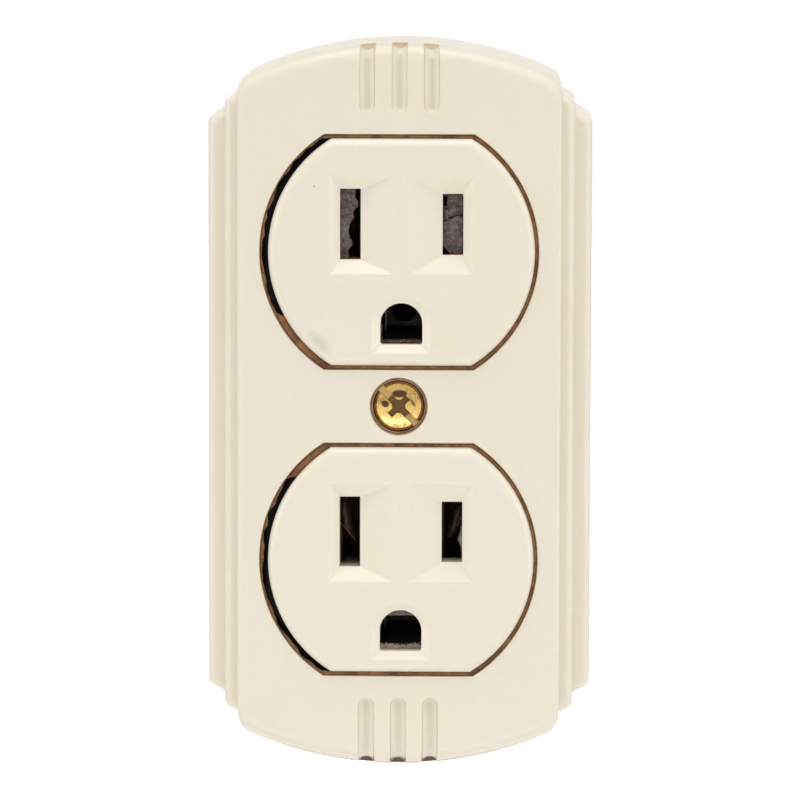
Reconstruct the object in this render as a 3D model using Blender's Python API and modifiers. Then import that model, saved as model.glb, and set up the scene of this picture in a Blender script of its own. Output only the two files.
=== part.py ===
"""Surface mount duplex outlet: a stepped two-part case round a grounded duplex receptacle.

The back of the base lies in the plane y = 0, the front looks along -Y, +Z is up and +X is
to the right as seen from the front. Depths are measured forward from the wall, so a depth
d lies at y = -d. The origin is the middle of the back. Everything is in metres.
"""

import math
from collections import namedtuple

import bmesh
import bpy
from mathutils import Vector

# Fits and cuts
FIT = 0.0003
OVERRUN = 0.0010
MERGE = 0.00005

# Case outline: three upright slabs with arched ends, each wider, shorter and further back
END_ARC_RADIUS = 0.0475
PANEL_BORDER = 0.00285
CROWN_ROOM = 0.0065
PANEL_CORNER = 0.0024
PANEL_SIDE_FILLET = 0.00045
PANEL_END_FILLET = 0.0020
SECOND_STEP = 0.00175
SECOND_DROP = 0.0018
SECOND_SETBACK = 0.0025
THIRD_STEP = 0.0022
THIRD_DROP = 0.0012
THIRD_SETBACK = 0.0027
SIDE_CORNER = 0.0010
SIDE_FILLET = 0.0010
INNER_CORNER = 0.0003
DRAFT_SHARE = 0.010

# Case depths and walls
FLOOR = 0.0022
WALL = 0.0022
BASE_DEPTH = 0.0180
COVER_DEPTH = 0.0122
LAP = 0.0012
LIP_HEIGHT = 0.0015
COVER_BACK = BASE_DEPTH + FIT
COVER_FRONT = COVER_BACK + COVER_DEPTH

# Grooves at both ends of the cover
GROOVE_RADIUS = 0.0009
GROOVE_DEPTH = 0.00073
GROOVE_PITCH = 0.00405
GROOVE_LENGTH = 0.0087
GROOVE_TAIL = 0.0006
GROOVES_EACH_SIDE = 1

# Receptacle faces
DEVICE_SHIFT = 0.0003
FACE_RADIUS = 0.0168
FACE_FLAT_CUT = 0.00255
FACE_RIM = 0.0008
FACE_PROUD = 0.0008
FACE_GAP = 0.0007
FACE_PLATE = 0.0052
FACE_PLATE_BORDER = 0.0012
FACE_PLATE_CORNER = 0.0020
FACE_FRONT = COVER_FRONT + FACE_PROUD

# Slots, their lead-ins and the ground holes
SLOT_PITCH = 0.0129
SLOT_RISE = 0.0035
SLOT_WIDTH = 0.0026
NEUTRAL_SLOT_HEIGHT = 0.0089
HOT_SLOT_HEIGHT = 0.0077
SLOT_WALL = 0.0045
LEAD_IN_DEPTH = 0.0014
LEAD_IN_HALF_HEIGHT = 0.00615
LEAD_IN_OUTER_RUN = 0.00125
LEAD_IN_RIDGE = 0.0021
LEAD_IN_OVER_SHARE = 0.2
GROUND_MARGIN = 0.00265
GROUND_WIDTH = 0.0053
GROUND_HEIGHT = 0.0052
GROUND_LEAD_IN = 0.0010
GROUND_LEAD_IN_DEPTH = 0.0008

# Strap behind the body
STRAP_THICKNESS = 0.0012
STRAP_HALF_WIDTH = 0.0110
STRAP_BEND = 0.0012
EAR_BACK = 0.0170
EAR_HALF_WIDTH = 0.0055
EAR_END = 0.0030
EAR_REACH = 0.0021
TAB_GAP = 0.00265
TAB_HALF_WIDTH = 0.0040
TAB_TOP = 0.0138
TAB_ROOT = 0.0090

# Rivets
RIVET_RADIUS = 0.0015
RIVET_HEAD_RADIUS = 0.0025
RIVET_HEAD = 0.0010
RIVET_TAIL = 0.0007
RIVET_OUT = 0.0082
GROUND_RIVET_RADIUS = 0.0010
GROUND_RIVET_HEAD_RADIUS = 0.0016

# Body
BODY_DEPTH = 0.0135
BODY_HALF_WIDTH = 0.0135
BODY_MARGIN = 0.0007
BODY_CORNER = 0.0015
BODY_EDGE = 0.0006
CENTRE_BORE_ROOM = 0.0005

# Blade contacts: a side plate, an arm to each clip, and two sprung leaves
LEAF = 0.0007
CONTACT_FLOOR = 0.0079
CLIP_ROOT = 0.0021
CLIP_PINCH = 0.0009
CLIP_FLARE = 0.0014
CLIP_HALF_HEIGHT = 0.0042
CLIP_SHOULDER = 0.0040
CLIP_PINCH_BACK = 0.0026
CLIP_TIP_ROOM = 0.0006
CLIP_BEND = 0.0008
ARM_HALF_HEIGHT = 0.0030
PLATE_TOP = 0.0169
PLATE_OVERHANG = 0.0002
BREAK_OFF_HALF = 0.0019
BREAK_OFF_CUT = 0.0008
BREAK_OFF_NECK = 0.0018

# Ground contacts
GROUND_ROOT = 0.00275
GROUND_PINCH = 0.0023
GROUND_FLARE = 0.0027
GROUND_HALF_WIDTH = 0.0023

# Terminal screws
TERMINAL_OUT = 0.0085
TERMINAL_DEPTH = 0.0125
TERMINAL_SHANK = 0.00175
TERMINAL_HEAD_RADIUS = 0.0033
TERMINAL_HEAD = 0.0017
TERMINAL_LENGTH = 0.0040
GROUND_TERMINAL_DEPTH = 0.0096

# Cover screw and its nut
COVER_SCREW_SHANK = 0.0016
COVER_SCREW_HEAD_RADIUS = 0.00315
COVER_SCREW_HEAD = 0.0014
COVER_SCREW_RIM = 0.0005
COVER_SCREW_LENGTH = 0.0130
COUNTERBORE_RADIUS = 0.0035
COUNTERBORE_DEPTH = 0.0019
COVER_BOSS_RADIUS = 0.0043
COVER_BOSS_ROOM = 0.0002
NUT_HALF = 0.0034
NUT_HEIGHT = 0.0024
NUT_CHAMFER = 0.0004

# Strap screws and the base's posts
STRAP_SCREW_SHANK = 0.0014
STRAP_SCREW_HEAD_RADIUS = 0.0026
STRAP_SCREW_HEAD = 0.0018
STRAP_SCREW_LENGTH = 0.0090
POST_RADIUS = 0.0026
POST_RIB_HALF_WIDTH = 0.0009

# Screw details
SCREW_RIM_SHARE = 0.35
DRIVE_SLOT = 0.0009
DRIVE_SLOT_SHARE = 0.55
CROSS_HALF_LENGTH = 0.0016
CROSS_WIDTH = 0.0007
POINT_LENGTH = 0.0008
POINT_SHARE = 0.6

# Cable clamp, cable window and knock-outs
CABLE_WIDTH = 0.0071
CABLE_HEIGHT = 0.0060
CABLE_ROOM = 0.0004
WINDOW_SILL = 0.0004
CLAMP_RISE = 0.0048
CLAMP_HALF_WIDTH = 0.0015
CLAMP_THICKNESS = 0.0010
CLAMP_ARCH = 0.0019
CLAMP_FOOT = 0.0017
CLAMP_BOSS_RADIUS = 0.0017
CLAMP_IN = 0.0078
CLAMP_SCREW_SHANK = 0.0009
CLAMP_SCREW_HEAD_RADIUS = 0.0016
CLAMP_SCREW_HEAD = 0.0013
CLAMP_SCREW_LENGTH = 0.0045
SCORE_WIDTH = 0.0006
SCORE_WEB = 0.0009
SCORE_REACH = 0.0057

# Wall slots
WALL_SLOT_HALF_WIDTH = 0.0023
WALL_SLOT_HALF_LENGTH = 0.0038
WALL_SLOT_OUT = 0.0173
WALL_SLOT_UP = 0.0220

# Fineness of round shapes
ARC_STEPS = 9
CORNER_STEPS = 3
FILLET_STEPS = 4
FACE_STEPS = 14
BEND_STEPS = 3
TURN_STEPS = 24
SMALL_TURN_STEPS = 16
DOME_STEPS = 3
GROOVE_BEND_STEPS = 6
GROOVE_CAP_STEPS = 4
GROOVE_RESOLUTION = 3
SHARP_ANGLE = math.radians(35)
BODY_EDGE_ANGLE = math.radians(60)

# Heights and widths that follow from the sizes above. The faces come out 38.9 mm apart.
FACE_HALF_HEIGHT = FACE_RADIUS - FACE_FLAT_CUT
UPPER = FACE_HALF_HEIGHT + FACE_GAP + COVER_BOSS_RADIUS + COVER_BOSS_ROOM
LOWER = -UPPER
GROUND_DROP = FACE_HALF_HEIGHT - GROUND_HEIGHT / 2 - GROUND_MARGIN
BODY_HALF_HEIGHT = UPPER + FACE_HALF_HEIGHT + BODY_MARGIN
POST_PLACE = BODY_HALF_HEIGHT + FIT + STRAP_THICKNESS + STRAP_BEND + EAR_REACH
SIDE_PLATE_REACH = UPPER + CLIP_HALF_HEIGHT + PLATE_OVERHANG
TAB_DROP = SIDE_PLATE_REACH - SLOT_RISE + TAB_GAP + TAB_HALF_WIDTH
FACE_PLATE_HALF_WIDTH = FACE_RADIUS + FACE_GAP
PANEL_HALF_WIDTH = FACE_PLATE_HALF_WIDTH + PANEL_BORDER
PANEL_CROWN = POST_PLACE + CROWN_ROOM
GROOVE_START = PANEL_CROWN - GROOVE_LENGTH
SCORE_START = PANEL_CROWN - SCORE_REACH

# Places of the cable window and its clamp, whose feet stay clear of the arched wall
CLAMP_SCREW_OUT = (CABLE_WIDTH + FIT) / 2 + CLAMP_BOSS_RADIUS
CLAMP_REACH = PANEL_HALF_WIDTH - WALL - CABLE_ROOM
CABLE_OUT = CLAMP_REACH - CLAMP_SCREW_OUT - CLAMP_FOOT
CLAMP_PLACE = PANEL_CROWN - CLAMP_IN

# Depths that follow from the sizes above
STRAP_BACK = FLOOR + FIT + RIVET_TAIL + FIT
STRAP_FRONT = STRAP_BACK + STRAP_THICKNESS
BODY_BACK = STRAP_FRONT + FIT
BODY_FRONT = BODY_BACK + BODY_DEPTH
FACE_BACK = BODY_FRONT + FIT
FACE_LAND = FACE_BACK + FACE_PLATE
POCKET_FRONT = FACE_FRONT - LEAD_IN_DEPTH - SLOT_WALL
LEAF_TIP = POCKET_FRONT - CLIP_TIP_ROOM
COUNTERBORE_FLOOR = COVER_FRONT - COUNTERBORE_DEPTH
COVER_SCREW_TIP = COUNTERBORE_FLOOR + FIT - COVER_SCREW_LENGTH
POST_TOP = EAR_BACK - FIT
SIDE_PLATE = BODY_HALF_WIDTH + FIT
BLADE_SEAT = SIDE_PLATE + LEAF + FIT
GROUND_SEAT = SIDE_PLATE + STRAP_THICKNESS + FIT
CLAMP_BOSS_TOP = FLOOR + CLAMP_RISE
CLAMP_BACK = CLAMP_BOSS_TOP + FIT

Tier = namedtuple("Tier", "half_width crown front corner side_fillet end_fillet")

PANEL = Tier(PANEL_HALF_WIDTH, PANEL_CROWN, COVER_FRONT,
             PANEL_CORNER, PANEL_SIDE_FILLET, PANEL_END_FILLET)
SECOND_TIER = Tier(PANEL.half_width + SECOND_STEP, PANEL.crown - SECOND_DROP,
                   PANEL.front - SECOND_SETBACK, SIDE_CORNER, SIDE_FILLET, SIDE_FILLET)
THIRD_TIER = Tier(SECOND_TIER.half_width + THIRD_STEP, SECOND_TIER.crown - THIRD_DROP,
                  SECOND_TIER.front - THIRD_SETBACK, SIDE_CORNER, SIDE_FILLET, SIDE_FILLET)
TIERS = (PANEL, SECOND_TIER, THIRD_TIER)

FORWARD = Vector((0, -1, 0))
LEFT, RIGHT = -1, 1


def place(x, depth, z):
    """The point at x, a depth in front of the wall, and height z."""
    return Vector((x, -depth, z))


def start_scene():
    """Empty the scene and make one collection for the parts and one for the cutters."""
    for thing in list(bpy.data.objects):
        bpy.data.objects.remove(thing, do_unlink=True)
    made = {}
    for name in ("surface_mount_duplex_outlet", "cutters"):
        made[name] = bpy.data.collections.new(name)
        bpy.context.scene.collection.children.link(made[name])
    return made["surface_mount_duplex_outlet"], made["cutters"]


PARTS, CUTTERS = start_scene()


def add_object(name, data):
    """A new object among the parts."""
    thing = bpy.data.objects.new(name, data)
    PARTS.objects.link(thing)
    return thing


def add_mesh(name, shape, smooth=False):
    """Turn a bmesh into an object, with its faces pointing out."""
    bmesh.ops.recalc_face_normals(shape, faces=shape.faces)
    data = bpy.data.meshes.new(name)
    shape.to_mesh(data)
    shape.free()
    if smooth:
        data.shade_smooth()
        data.set_sharp_from_angle(angle=SHARP_ANGLE)
    return add_object(name, data)


def combine(body, tool, operation):
    """Join a tool to a body or cut it away, and file the tool with the cutters."""
    step = body.modifiers.new(f"{operation.lower()} {tool.name}", "BOOLEAN")
    step.operation = operation
    step.solver = "EXACT"
    step.object = tool
    PARTS.objects.unlink(tool)
    CUTTERS.objects.link(tool)
    tool.parent = body
    tool.hide_render = True
    tool.display_type = "WIRE"


def cut(body, *tools):
    for tool in tools:
        combine(body, tool, "DIFFERENCE")


def join(body, *tools):
    for tool in tools:
        combine(body, tool, "UNION")


def arc(centre, radius, start, end, steps):
    """Points on an arc from one angle to another, both ends included."""
    turns = [start + (end - start) * step / steps for step in range(steps + 1)]
    return [(centre[0] + radius * math.cos(turn), centre[1] + radius * math.sin(turn))
            for turn in turns]


def shifted(points, x, z):
    return [(px + x, pz + z) for px, pz in points]


def arched_outline(half_width, crown, radius, corner):
    """An upright slab's outline: straight sides, arched ends and rounded corners."""
    arc_centre = crown - radius
    corner_x = half_width - corner
    corner_z = arc_centre + math.sqrt((radius - corner) ** 2 - corner_x ** 2)
    lean = math.atan2(corner_z - arc_centre, corner_x)
    quarter = arc((corner_x, corner_z), corner, 0, lean, CORNER_STEPS)
    quarter += arc((0, arc_centre), radius, lean, math.pi / 2, ARC_STEPS)[1:]
    upper = quarter + [(-x, z) for x, z in reversed(quarter[:-1])]
    return upper + [(-x, -z) for x, z in upper]


def rounded_rectangle(half_width, half_height, corner):
    points = []
    for quadrant, (side, end) in enumerate(((1, 1), (-1, 1), (-1, -1), (1, -1))):
        centre = (side * (half_width - corner), end * (half_height - corner))
        start = quadrant * math.pi / 2
        points += arc(centre, corner, start, start + math.pi / 2, CORNER_STEPS)
    return points


def rectangle(left, right, bottom, top):
    return [(right, bottom), (right, top), (left, top), (left, bottom)]


def double_d(radius, half_height):
    """A circle cut off flat at top and bottom."""
    lean = math.asin(half_height / radius)
    right = arc((0, 0), radius, -lean, lean, FACE_STEPS)
    return right + [(-x, -z) for x, z in right]


def ground_outline(width, height):
    """A hole with a flat foot and a round top."""
    half = width / 2
    return arc((0, height / 2 - half), half, 0, math.pi, FACE_STEPS // 2) + [
        (-half, -height / 2), (half, -height / 2)]


def loft(name, rings, smooth=False):
    """A closed solid through rings of (x, z) points, each at its own depth."""
    shape = bmesh.new()
    loops = [[shape.verts.new(place(x, depth, z)) for x, z in points] for depth, points in rings]
    count = len(loops[0])
    for lower, upper in zip(loops, loops[1:]):
        for index in range(count):
            after = (index + 1) % count
            shape.faces.new((lower[index], lower[after], upper[after], upper[index]))
    shape.faces.new(loops[0])
    shape.faces.new(loops[-1])
    return add_mesh(name, shape, smooth)


def prism(name, outline, back, front):
    return loft(name, [(back, outline), (front, outline)])


def box(name, left, right, back, front, bottom, top):
    """A block given by its sides, its depths and its heights."""
    shape = bmesh.new()
    bmesh.ops.create_cube(shape, size=1)
    bmesh.ops.scale(shape, verts=shape.verts, vec=(right - left, front - back, top - bottom))
    middle = place((left + right) / 2, (back + front) / 2, (bottom + top) / 2)
    bmesh.ops.translate(shape, verts=shape.verts, vec=middle)
    return add_mesh(name, shape)


def rod(name, radius, start, end, sides=SMALL_TURN_STEPS):
    """A cylinder between two points."""
    shape = bmesh.new()
    run = end - start
    turn = run.to_track_quat("Z", "Y").to_matrix()
    bmesh.ops.create_cone(shape, cap_ends=True, segments=sides,
                          radius1=radius, radius2=radius, depth=run.length)
    bmesh.ops.rotate(shape, verts=shape.verts, cent=(0, 0, 0), matrix=turn)
    bmesh.ops.translate(shape, verts=shape.verts, vec=(start + end) / 2)
    return add_mesh(name, shape)


def turned(name, profile, seat, facing, steps=TURN_STEPS):
    """Revolve a profile of (radius, height) points, top to bottom, round a seat's normal."""
    data = bpy.data.meshes.new(name)
    points = [(radius, 0, height) for radius, height in profile]
    edges = [(index, index + 1) for index in range(len(points) - 1)]
    data.from_pydata(points, edges, [])
    thing = add_object(name, data)
    thing.location = seat
    thing.rotation_euler = facing.to_track_quat("Z", "Y").to_euler()
    turn = thing.modifiers.new("turn", "SCREW")
    turn.steps = steps
    turn.render_steps = steps
    turn.use_merge_vertices = True
    turn.merge_threshold = MERGE
    turn.use_smooth_shade = True
    return thing


def rounded_bends(points, radius):
    """Swap each inner corner of a path for an arc."""
    path = [Vector(points[0])]
    for before, corner, after in zip(points, points[1:], points[2:]):
        corner = Vector(corner)
        back = (Vector(before) - corner).normalized()
        ahead = (Vector(after) - corner).normalized()
        half = back.angle(ahead) / 2
        centre = corner + (back + ahead).normalized() * radius / math.sin(half)
        start = (corner + back * radius / math.tan(half) - centre).normalized()
        end = (corner + ahead * radius / math.tan(half) - centre).normalized()
        path += [centre + start.slerp(end, step / BEND_STEPS) * radius
                 for step in range(BEND_STEPS + 1)]
    return path + [Vector(points[-1])]


def strip(name, points, bend, thickness, across, spread):
    """Bent sheet metal. The points are its middle line and across gives each side's place."""
    shape = bmesh.new()
    path = rounded_bends(points, bend)
    rows = [[shape.verts.new(across(first, second, side * spread)) for first, second in path]
            for side in (-1, 1)]
    for index in range(len(path) - 1):
        shape.faces.new((rows[0][index], rows[0][index + 1], rows[1][index + 1], rows[1][index]))
    thing = add_mesh(name, shape)
    sheet = thing.modifiers.new("sheet", "SOLIDIFY")
    sheet.thickness = thickness
    sheet.offset = 0
    sheet.use_even_offset = True
    return thing


def colour(code):
    """Turn an sRGB hex colour into linear red, green, blue and alpha."""
    parts = [int(code[index:index + 2], 16) / 255 for index in (1, 3, 5)]
    return [part / 12.92 if part <= 0.04045 else ((part + 0.055) / 1.055) ** 2.4
            for part in parts] + [1]


def finish(thing, name, code, roughness, metallic=0):
    """Give a piece its own Principled material."""
    material = bpy.data.materials.new(name)
    material.use_nodes = True
    shader = material.node_tree.nodes["Principled BSDF"]
    shader.inputs["Base Color"].default_value = colour(code)
    shader.inputs["Roughness"].default_value = roughness
    shader.inputs["Metallic"].default_value = metallic
    material.diffuse_color = colour(code)
    thing.data.materials.append(material)


def fillet_inset(behind, radius):
    """How far a filleted edge is drawn in, a distance behind its front."""
    if behind >= radius:
        return 0
    return radius - math.sqrt(radius ** 2 - (radius - behind) ** 2)


def tier_outline(tier, depth, inset, filleted):
    """A tier's outline at one depth, with its draft and its front fillets."""
    behind = tier.front - depth
    growth = DRAFT_SHARE * behind - inset
    side = fillet_inset(behind, tier.side_fillet) if filleted else 0
    end = fillet_inset(behind, tier.end_fillet) if filleted else 0
    return arched_outline(tier.half_width + growth - side, tier.crown + growth - end,
                          END_ARC_RADIUS + growth - end, max(tier.corner - inset, INNER_CORNER))


def tier_slab(name, tier, back, front, inset, filleted):
    """One tier between two depths, drawn in by an inset."""
    depths = [back, front]
    if filleted:
        radius = max(tier.side_fillet, tier.end_fillet)
        turns = [math.pi / 2 * (1 - step / FILLET_STEPS) for step in range(FILLET_STEPS + 1)]
        depths = [back] + [front - radius * (1 - math.cos(turn)) for turn in turns]
    rings = [(depth, tier_outline(tier, depth, inset, filleted)) for depth in depths]
    return loft(name, rings, smooth=filleted)


def tier_stack(name, back, fronts, inset=0, filleted=False):
    """All three tiers joined."""
    slabs = [tier_slab(f"{name}_tier_{count + 1}" if count else name,
                       tier, back, front, inset, filleted)
             for count, (tier, front) in enumerate(zip(TIERS, fronts))]
    join(slabs[0], *slabs[1:])
    return slabs[0]


def groove(name, x, end):
    """A round-bottomed groove that runs over the front edge and down the end wall."""
    lift = GROOVE_RADIUS - GROOVE_DEPTH
    edge = PANEL_CROWN - END_ARC_RADIUS + math.sqrt(END_ARC_RADIUS ** 2 - x ** 2)
    fillet = PANEL_END_FILLET
    points, widths = [], []
    for step in range(1, GROOVE_CAP_STEPS):
        turn = math.pi / 2 * step / GROOVE_CAP_STEPS
        points.append((COVER_FRONT + lift, GROOVE_START + GROOVE_RADIUS * (1 - math.cos(turn))))
        widths.append(math.sin(turn))
    bend = arc((COVER_FRONT - fillet, edge - fillet), fillet + lift,
               0, math.pi / 2, GROOVE_BEND_STEPS)
    bend.append((COVER_FRONT - fillet - GROOVE_TAIL, edge + lift))
    points.append((COVER_FRONT + lift, GROOVE_START + GROOVE_RADIUS))
    points += bend
    widths += [1] * (len(bend) + 1)
    data = bpy.data.curves.new(name, "CURVE")
    data.dimensions = "3D"
    data.bevel_depth = GROOVE_RADIUS
    data.bevel_resolution = GROOVE_RESOLUTION
    data.use_fill_caps = True
    spline = data.splines.new("POLY")
    spline.points.add(len(points) - 1)
    for point, (depth, z), width in zip(spline.points, points, widths):
        point.co = (*place(x, depth, end * z), 1)
        point.radius = width
    return mesh_from_curve(name, add_object(f"{name}_path", data))


def mesh_from_curve(name, guide):
    """A closed mesh object from a curve, which is then removed."""
    bpy.context.view_layer.update()
    evaluated = guide.evaluated_get(bpy.context.evaluated_depsgraph_get())
    shape = bmesh.new()
    shape.from_mesh(bpy.data.meshes.new_from_object(evaluated))
    bmesh.ops.remove_doubles(shape, verts=shape.verts, dist=MERGE)
    bpy.data.objects.remove(guide, do_unlink=True)
    return add_mesh(name, shape)


def face_centres():
    """The two receptacle faces by name and height."""
    return (("upper", UPPER), ("lower", LOWER))


def front_cover():
    """The ivory cover: three tiers, two openings, the screw's seat and six grooves."""
    cover = tier_stack("front_cover", COVER_BACK, [tier.front for tier in TIERS], filleted=True)
    cut(cover,
        tier_stack("cover_hollow", COVER_BACK - OVERRUN,
                   [tier.front - WALL for tier in TIERS], inset=WALL),
        tier_stack("cover_rabbet", COVER_BACK - OVERRUN,
                   [COVER_BACK + LIP_HEIGHT] * len(TIERS), inset=LAP - FIT))
    join(cover, rod("cover_boss", COVER_BOSS_RADIUS, place(0, FACE_LAND + FIT, 0),
                    place(0, COVER_FRONT - WALL / 2, 0), TURN_STEPS))
    opening = double_d(FACE_RADIUS + FACE_GAP, FACE_HALF_HEIGHT + FACE_GAP)
    for name, z in face_centres():
        cut(cover, prism(f"cover_opening_{name}", shifted(opening, 0, z),
                         COVER_FRONT - WALL - OVERRUN, COVER_FRONT + OVERRUN))
    cut(cover,
        rod("cover_counterbore", COUNTERBORE_RADIUS, place(0, COUNTERBORE_FLOOR, 0),
            place(0, COVER_FRONT + OVERRUN, 0), TURN_STEPS),
        rod("cover_screw_hole", COVER_SCREW_SHANK + FIT, place(0, FACE_LAND - OVERRUN, 0),
            place(0, COVER_FRONT + OVERRUN, 0)))
    for end, side in ((1, "top"), (-1, "bottom")):
        for count in range(-GROOVES_EACH_SIDE, GROOVES_EACH_SIDE + 1):
            cut(cover, groove(f"groove_{side}_{count + GROOVES_EACH_SIDE + 1}",
                              count * GROOVE_PITCH, end))
    finish(cover, "moulded ivory plastic", "#e8dfc9", 0.35)
    return cover


def slot_sides(side, width):
    """The left and right of something centred on the slots of one side."""
    middle = side * SLOT_PITCH / 2
    return middle - width / 2, middle + width / 2


def funnelled_hole(name, narrow, wide, rise):
    """A cutter for a hole whose mouth opens out to a wider outline at the face's front."""
    over = 1 + LEAD_IN_OVER_SHARE
    beyond = [(x + (wide_x - x) * over, z + (wide_z - z) * over)
              for (x, z), (wide_x, wide_z) in zip(narrow, wide)]
    return loft(name, [(POCKET_FRONT - OVERRUN, narrow), (FACE_FRONT - rise, narrow),
                       (FACE_FRONT - rise + rise * over, beyond)])


def cut_slot(face, name, side, height, middle):
    """A blade slot with its four-sided lead-in and the pocket for the contact behind it."""
    left, right = slot_sides(side, SLOT_WIDTH)
    outer = SLOT_PITCH / 2 + SLOT_WIDTH / 2 + LEAD_IN_OUTER_RUN
    lead_sides = sorted((side * LEAD_IN_RIDGE / 2, side * outer))
    wide = rectangle(*lead_sides, middle - LEAD_IN_HALF_HEIGHT, middle + LEAD_IN_HALF_HEIGHT)
    narrow = rectangle(left, right, middle - height / 2, middle + height / 2)
    pocket_left, pocket_right = slot_sides(side, 2 * CLIP_ROOT + LEAF + 2 * FIT)
    cut(face,
        funnelled_hole(f"slot_{name}", narrow, wide, LEAD_IN_DEPTH),
        box(f"pocket_{name}", pocket_left, pocket_right, FACE_BACK - OVERRUN, POCKET_FRONT,
            middle - CLIP_HALF_HEIGHT - FIT, middle + CLIP_HALF_HEIGHT + FIT))


def cut_ground_hole(face, name, z):
    """A ground hole with its lead-in and the pocket for the contact behind it."""
    middle = z - GROUND_DROP
    hole = shifted(ground_outline(GROUND_WIDTH, GROUND_HEIGHT), 0, middle)
    wide = shifted(ground_outline(GROUND_WIDTH + 2 * GROUND_LEAD_IN,
                                  GROUND_HEIGHT + 2 * GROUND_LEAD_IN), 0, middle)
    half = GROUND_ROOT + LEAF / 2 + FIT
    across = GROUND_WIDTH / 2 + FIT
    cut(face,
        funnelled_hole(f"ground_hole_{name}", hole, wide, GROUND_LEAD_IN_DEPTH),
        box(f"ground_pocket_{name}", -across, across, FACE_BACK - OVERRUN, POCKET_FRONT,
            middle - half, middle + half))


def receptacle_face(name, z):
    """One ivory face, raised on its plate. The two plates meet at the device's middle, where
    they share the nut's pocket and the rivets."""
    reach = (UPPER + FACE_HALF_HEIGHT + FACE_PLATE_BORDER - FIT / 2) / 2
    plate = rounded_rectangle(FACE_PLATE_HALF_WIDTH, reach, FACE_PLATE_CORNER)
    face = prism(f"receptacle_face_{name}",
                 shifted(plate, 0, math.copysign(FIT / 2 + reach, z)), FACE_BACK, FACE_LAND)
    rings = [(FACE_BACK + FACE_PLATE / 2, double_d(FACE_RADIUS, FACE_HALF_HEIGHT))]
    for step in range(FILLET_STEPS + 1):
        turn = math.pi / 2 * step / FILLET_STEPS
        inset = FACE_RIM * (1 - math.cos(turn))
        rings.append((FACE_FRONT - FACE_RIM * (1 - math.sin(turn)),
                      double_d(FACE_RADIUS - inset, FACE_HALF_HEIGHT - inset)))
    rings = [(depth, shifted(outline, 0, z)) for depth, outline in rings]
    join(face, loft(f"face_{name}", rings, smooth=True))
    cut_slot(face, f"neutral_{name}", LEFT, NEUTRAL_SLOT_HEIGHT, z + SLOT_RISE)
    cut_slot(face, f"hot_{name}", RIGHT, HOT_SLOT_HEIGHT, z + SLOT_RISE)
    cut_ground_hole(face, name, z)
    nut_room = NUT_HALF + FIT + abs(DEVICE_SHIFT)
    cut(face,
        box(f"nut_pocket_{name}", -nut_room, nut_room, FACE_BACK - OVERRUN,
            FACE_BACK + NUT_HEIGHT + FIT, -nut_room, nut_room),
        rod(f"face_screw_hole_{name}", COVER_SCREW_SHANK + FIT + abs(DEVICE_SHIFT),
            place(0, FACE_BACK, 0), place(0, FACE_LAND + OVERRUN, 0)))
    cut_rivet_holes(face, f"face_{name}", FACE_BACK - OVERRUN, FACE_LAND + OVERRUN)
    finish(face, "moulded ivory plastic of the faces", "#eae2ce", 0.32)
    return face


def cut_rivet_holes(body, name, back, front):
    for label, side in (("left", LEFT), ("right", RIGHT)):
        cut(body, rod(f"{name}_rivet_hole_{label}", RIVET_RADIUS + FIT,
                      place(side * RIVET_OUT, back, 0), place(side * RIVET_OUT, front, 0)))


def receptacle_body():
    """The dark moulded body, with rooms for the clips, their arms and the terminal screws."""
    body = prism("receptacle_body",
                 rounded_rectangle(BODY_HALF_WIDTH, BODY_HALF_HEIGHT, BODY_CORNER),
                 BODY_BACK, BODY_FRONT)
    edges = body.modifiers.new("edges", "BEVEL")
    edges.width = BODY_EDGE
    edges.segments = 1
    edges.limit_method = "ANGLE"
    edges.angle_limit = BODY_EDGE_ANGLE
    for name, z in face_centres():
        middle = z + SLOT_RISE
        for label, side in (("neutral", LEFT), ("hot", RIGHT)):
            left, right = slot_sides(side, 2 * CLIP_ROOT + LEAF + 2 * FIT)
            arm_ends = sorted((side * SLOT_PITCH / 2, side * (BODY_HALF_WIDTH + OVERRUN)))
            cut(body,
                box(f"clip_room_{label}_{name}", left, right, CONTACT_FLOOR,
                    BODY_FRONT + OVERRUN, middle - CLIP_HALF_HEIGHT - FIT,
                    middle + CLIP_HALF_HEIGHT + FIT),
                box(f"arm_room_{label}_{name}", *arm_ends, CONTACT_FLOOR,
                    BODY_FRONT + OVERRUN, middle - ARM_HALF_HEIGHT - FIT,
                    middle + ARM_HALF_HEIGHT + FIT))
        ground = z - GROUND_DROP
        half = GROUND_ROOT + LEAF / 2 + FIT
        cut(body, box(f"ground_room_{name}", -GROUND_HALF_WIDTH - FIT, GROUND_HALF_WIDTH + FIT,
                      BODY_BACK - OVERRUN, BODY_FRONT + OVERRUN, ground - half, ground + half))
    for name, side, z in blade_terminals():
        cut(body, terminal_room(f"terminal_room_{name}", side, BLADE_SEAT, TERMINAL_DEPTH, z))
    cut(body, terminal_room("terminal_room_ground", LEFT, GROUND_SEAT, GROUND_TERMINAL_DEPTH,
                            -TAB_DROP))
    bore = COVER_SCREW_SHANK + abs(DEVICE_SHIFT) + CENTRE_BORE_ROOM
    cut(body, rod("centre_bore", bore, place(0, COVER_SCREW_TIP - OVERRUN, 0),
                  place(0, BODY_FRONT + OVERRUN, 0)))
    cut_rivet_holes(body, "body", BODY_BACK - OVERRUN, BODY_FRONT + OVERRUN)
    finish(body, "brown phenolic moulding", "#2b211c", 0.45)
    return body


def blade_terminals():
    """The four terminal screws of the blade contacts: name, side and height."""
    return [(f"{contact}_{name}", side, SLOT_RISE + end * TERMINAL_OUT)
            for contact, side in (("neutral", LEFT), ("hot", RIGHT))
            for name, end in (("upper", 1), ("lower", -1))]


def terminal_room(name, side, seat, depth, z):
    """The hole in the body's side that a terminal screw's end goes into."""
    inner = seat - TERMINAL_LENGTH - FIT
    return rod(name, TERMINAL_SHANK + FIT, place(side * inner, depth, z),
               place(side * (BODY_HALF_WIDTH + OVERRUN), depth, z))


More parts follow.
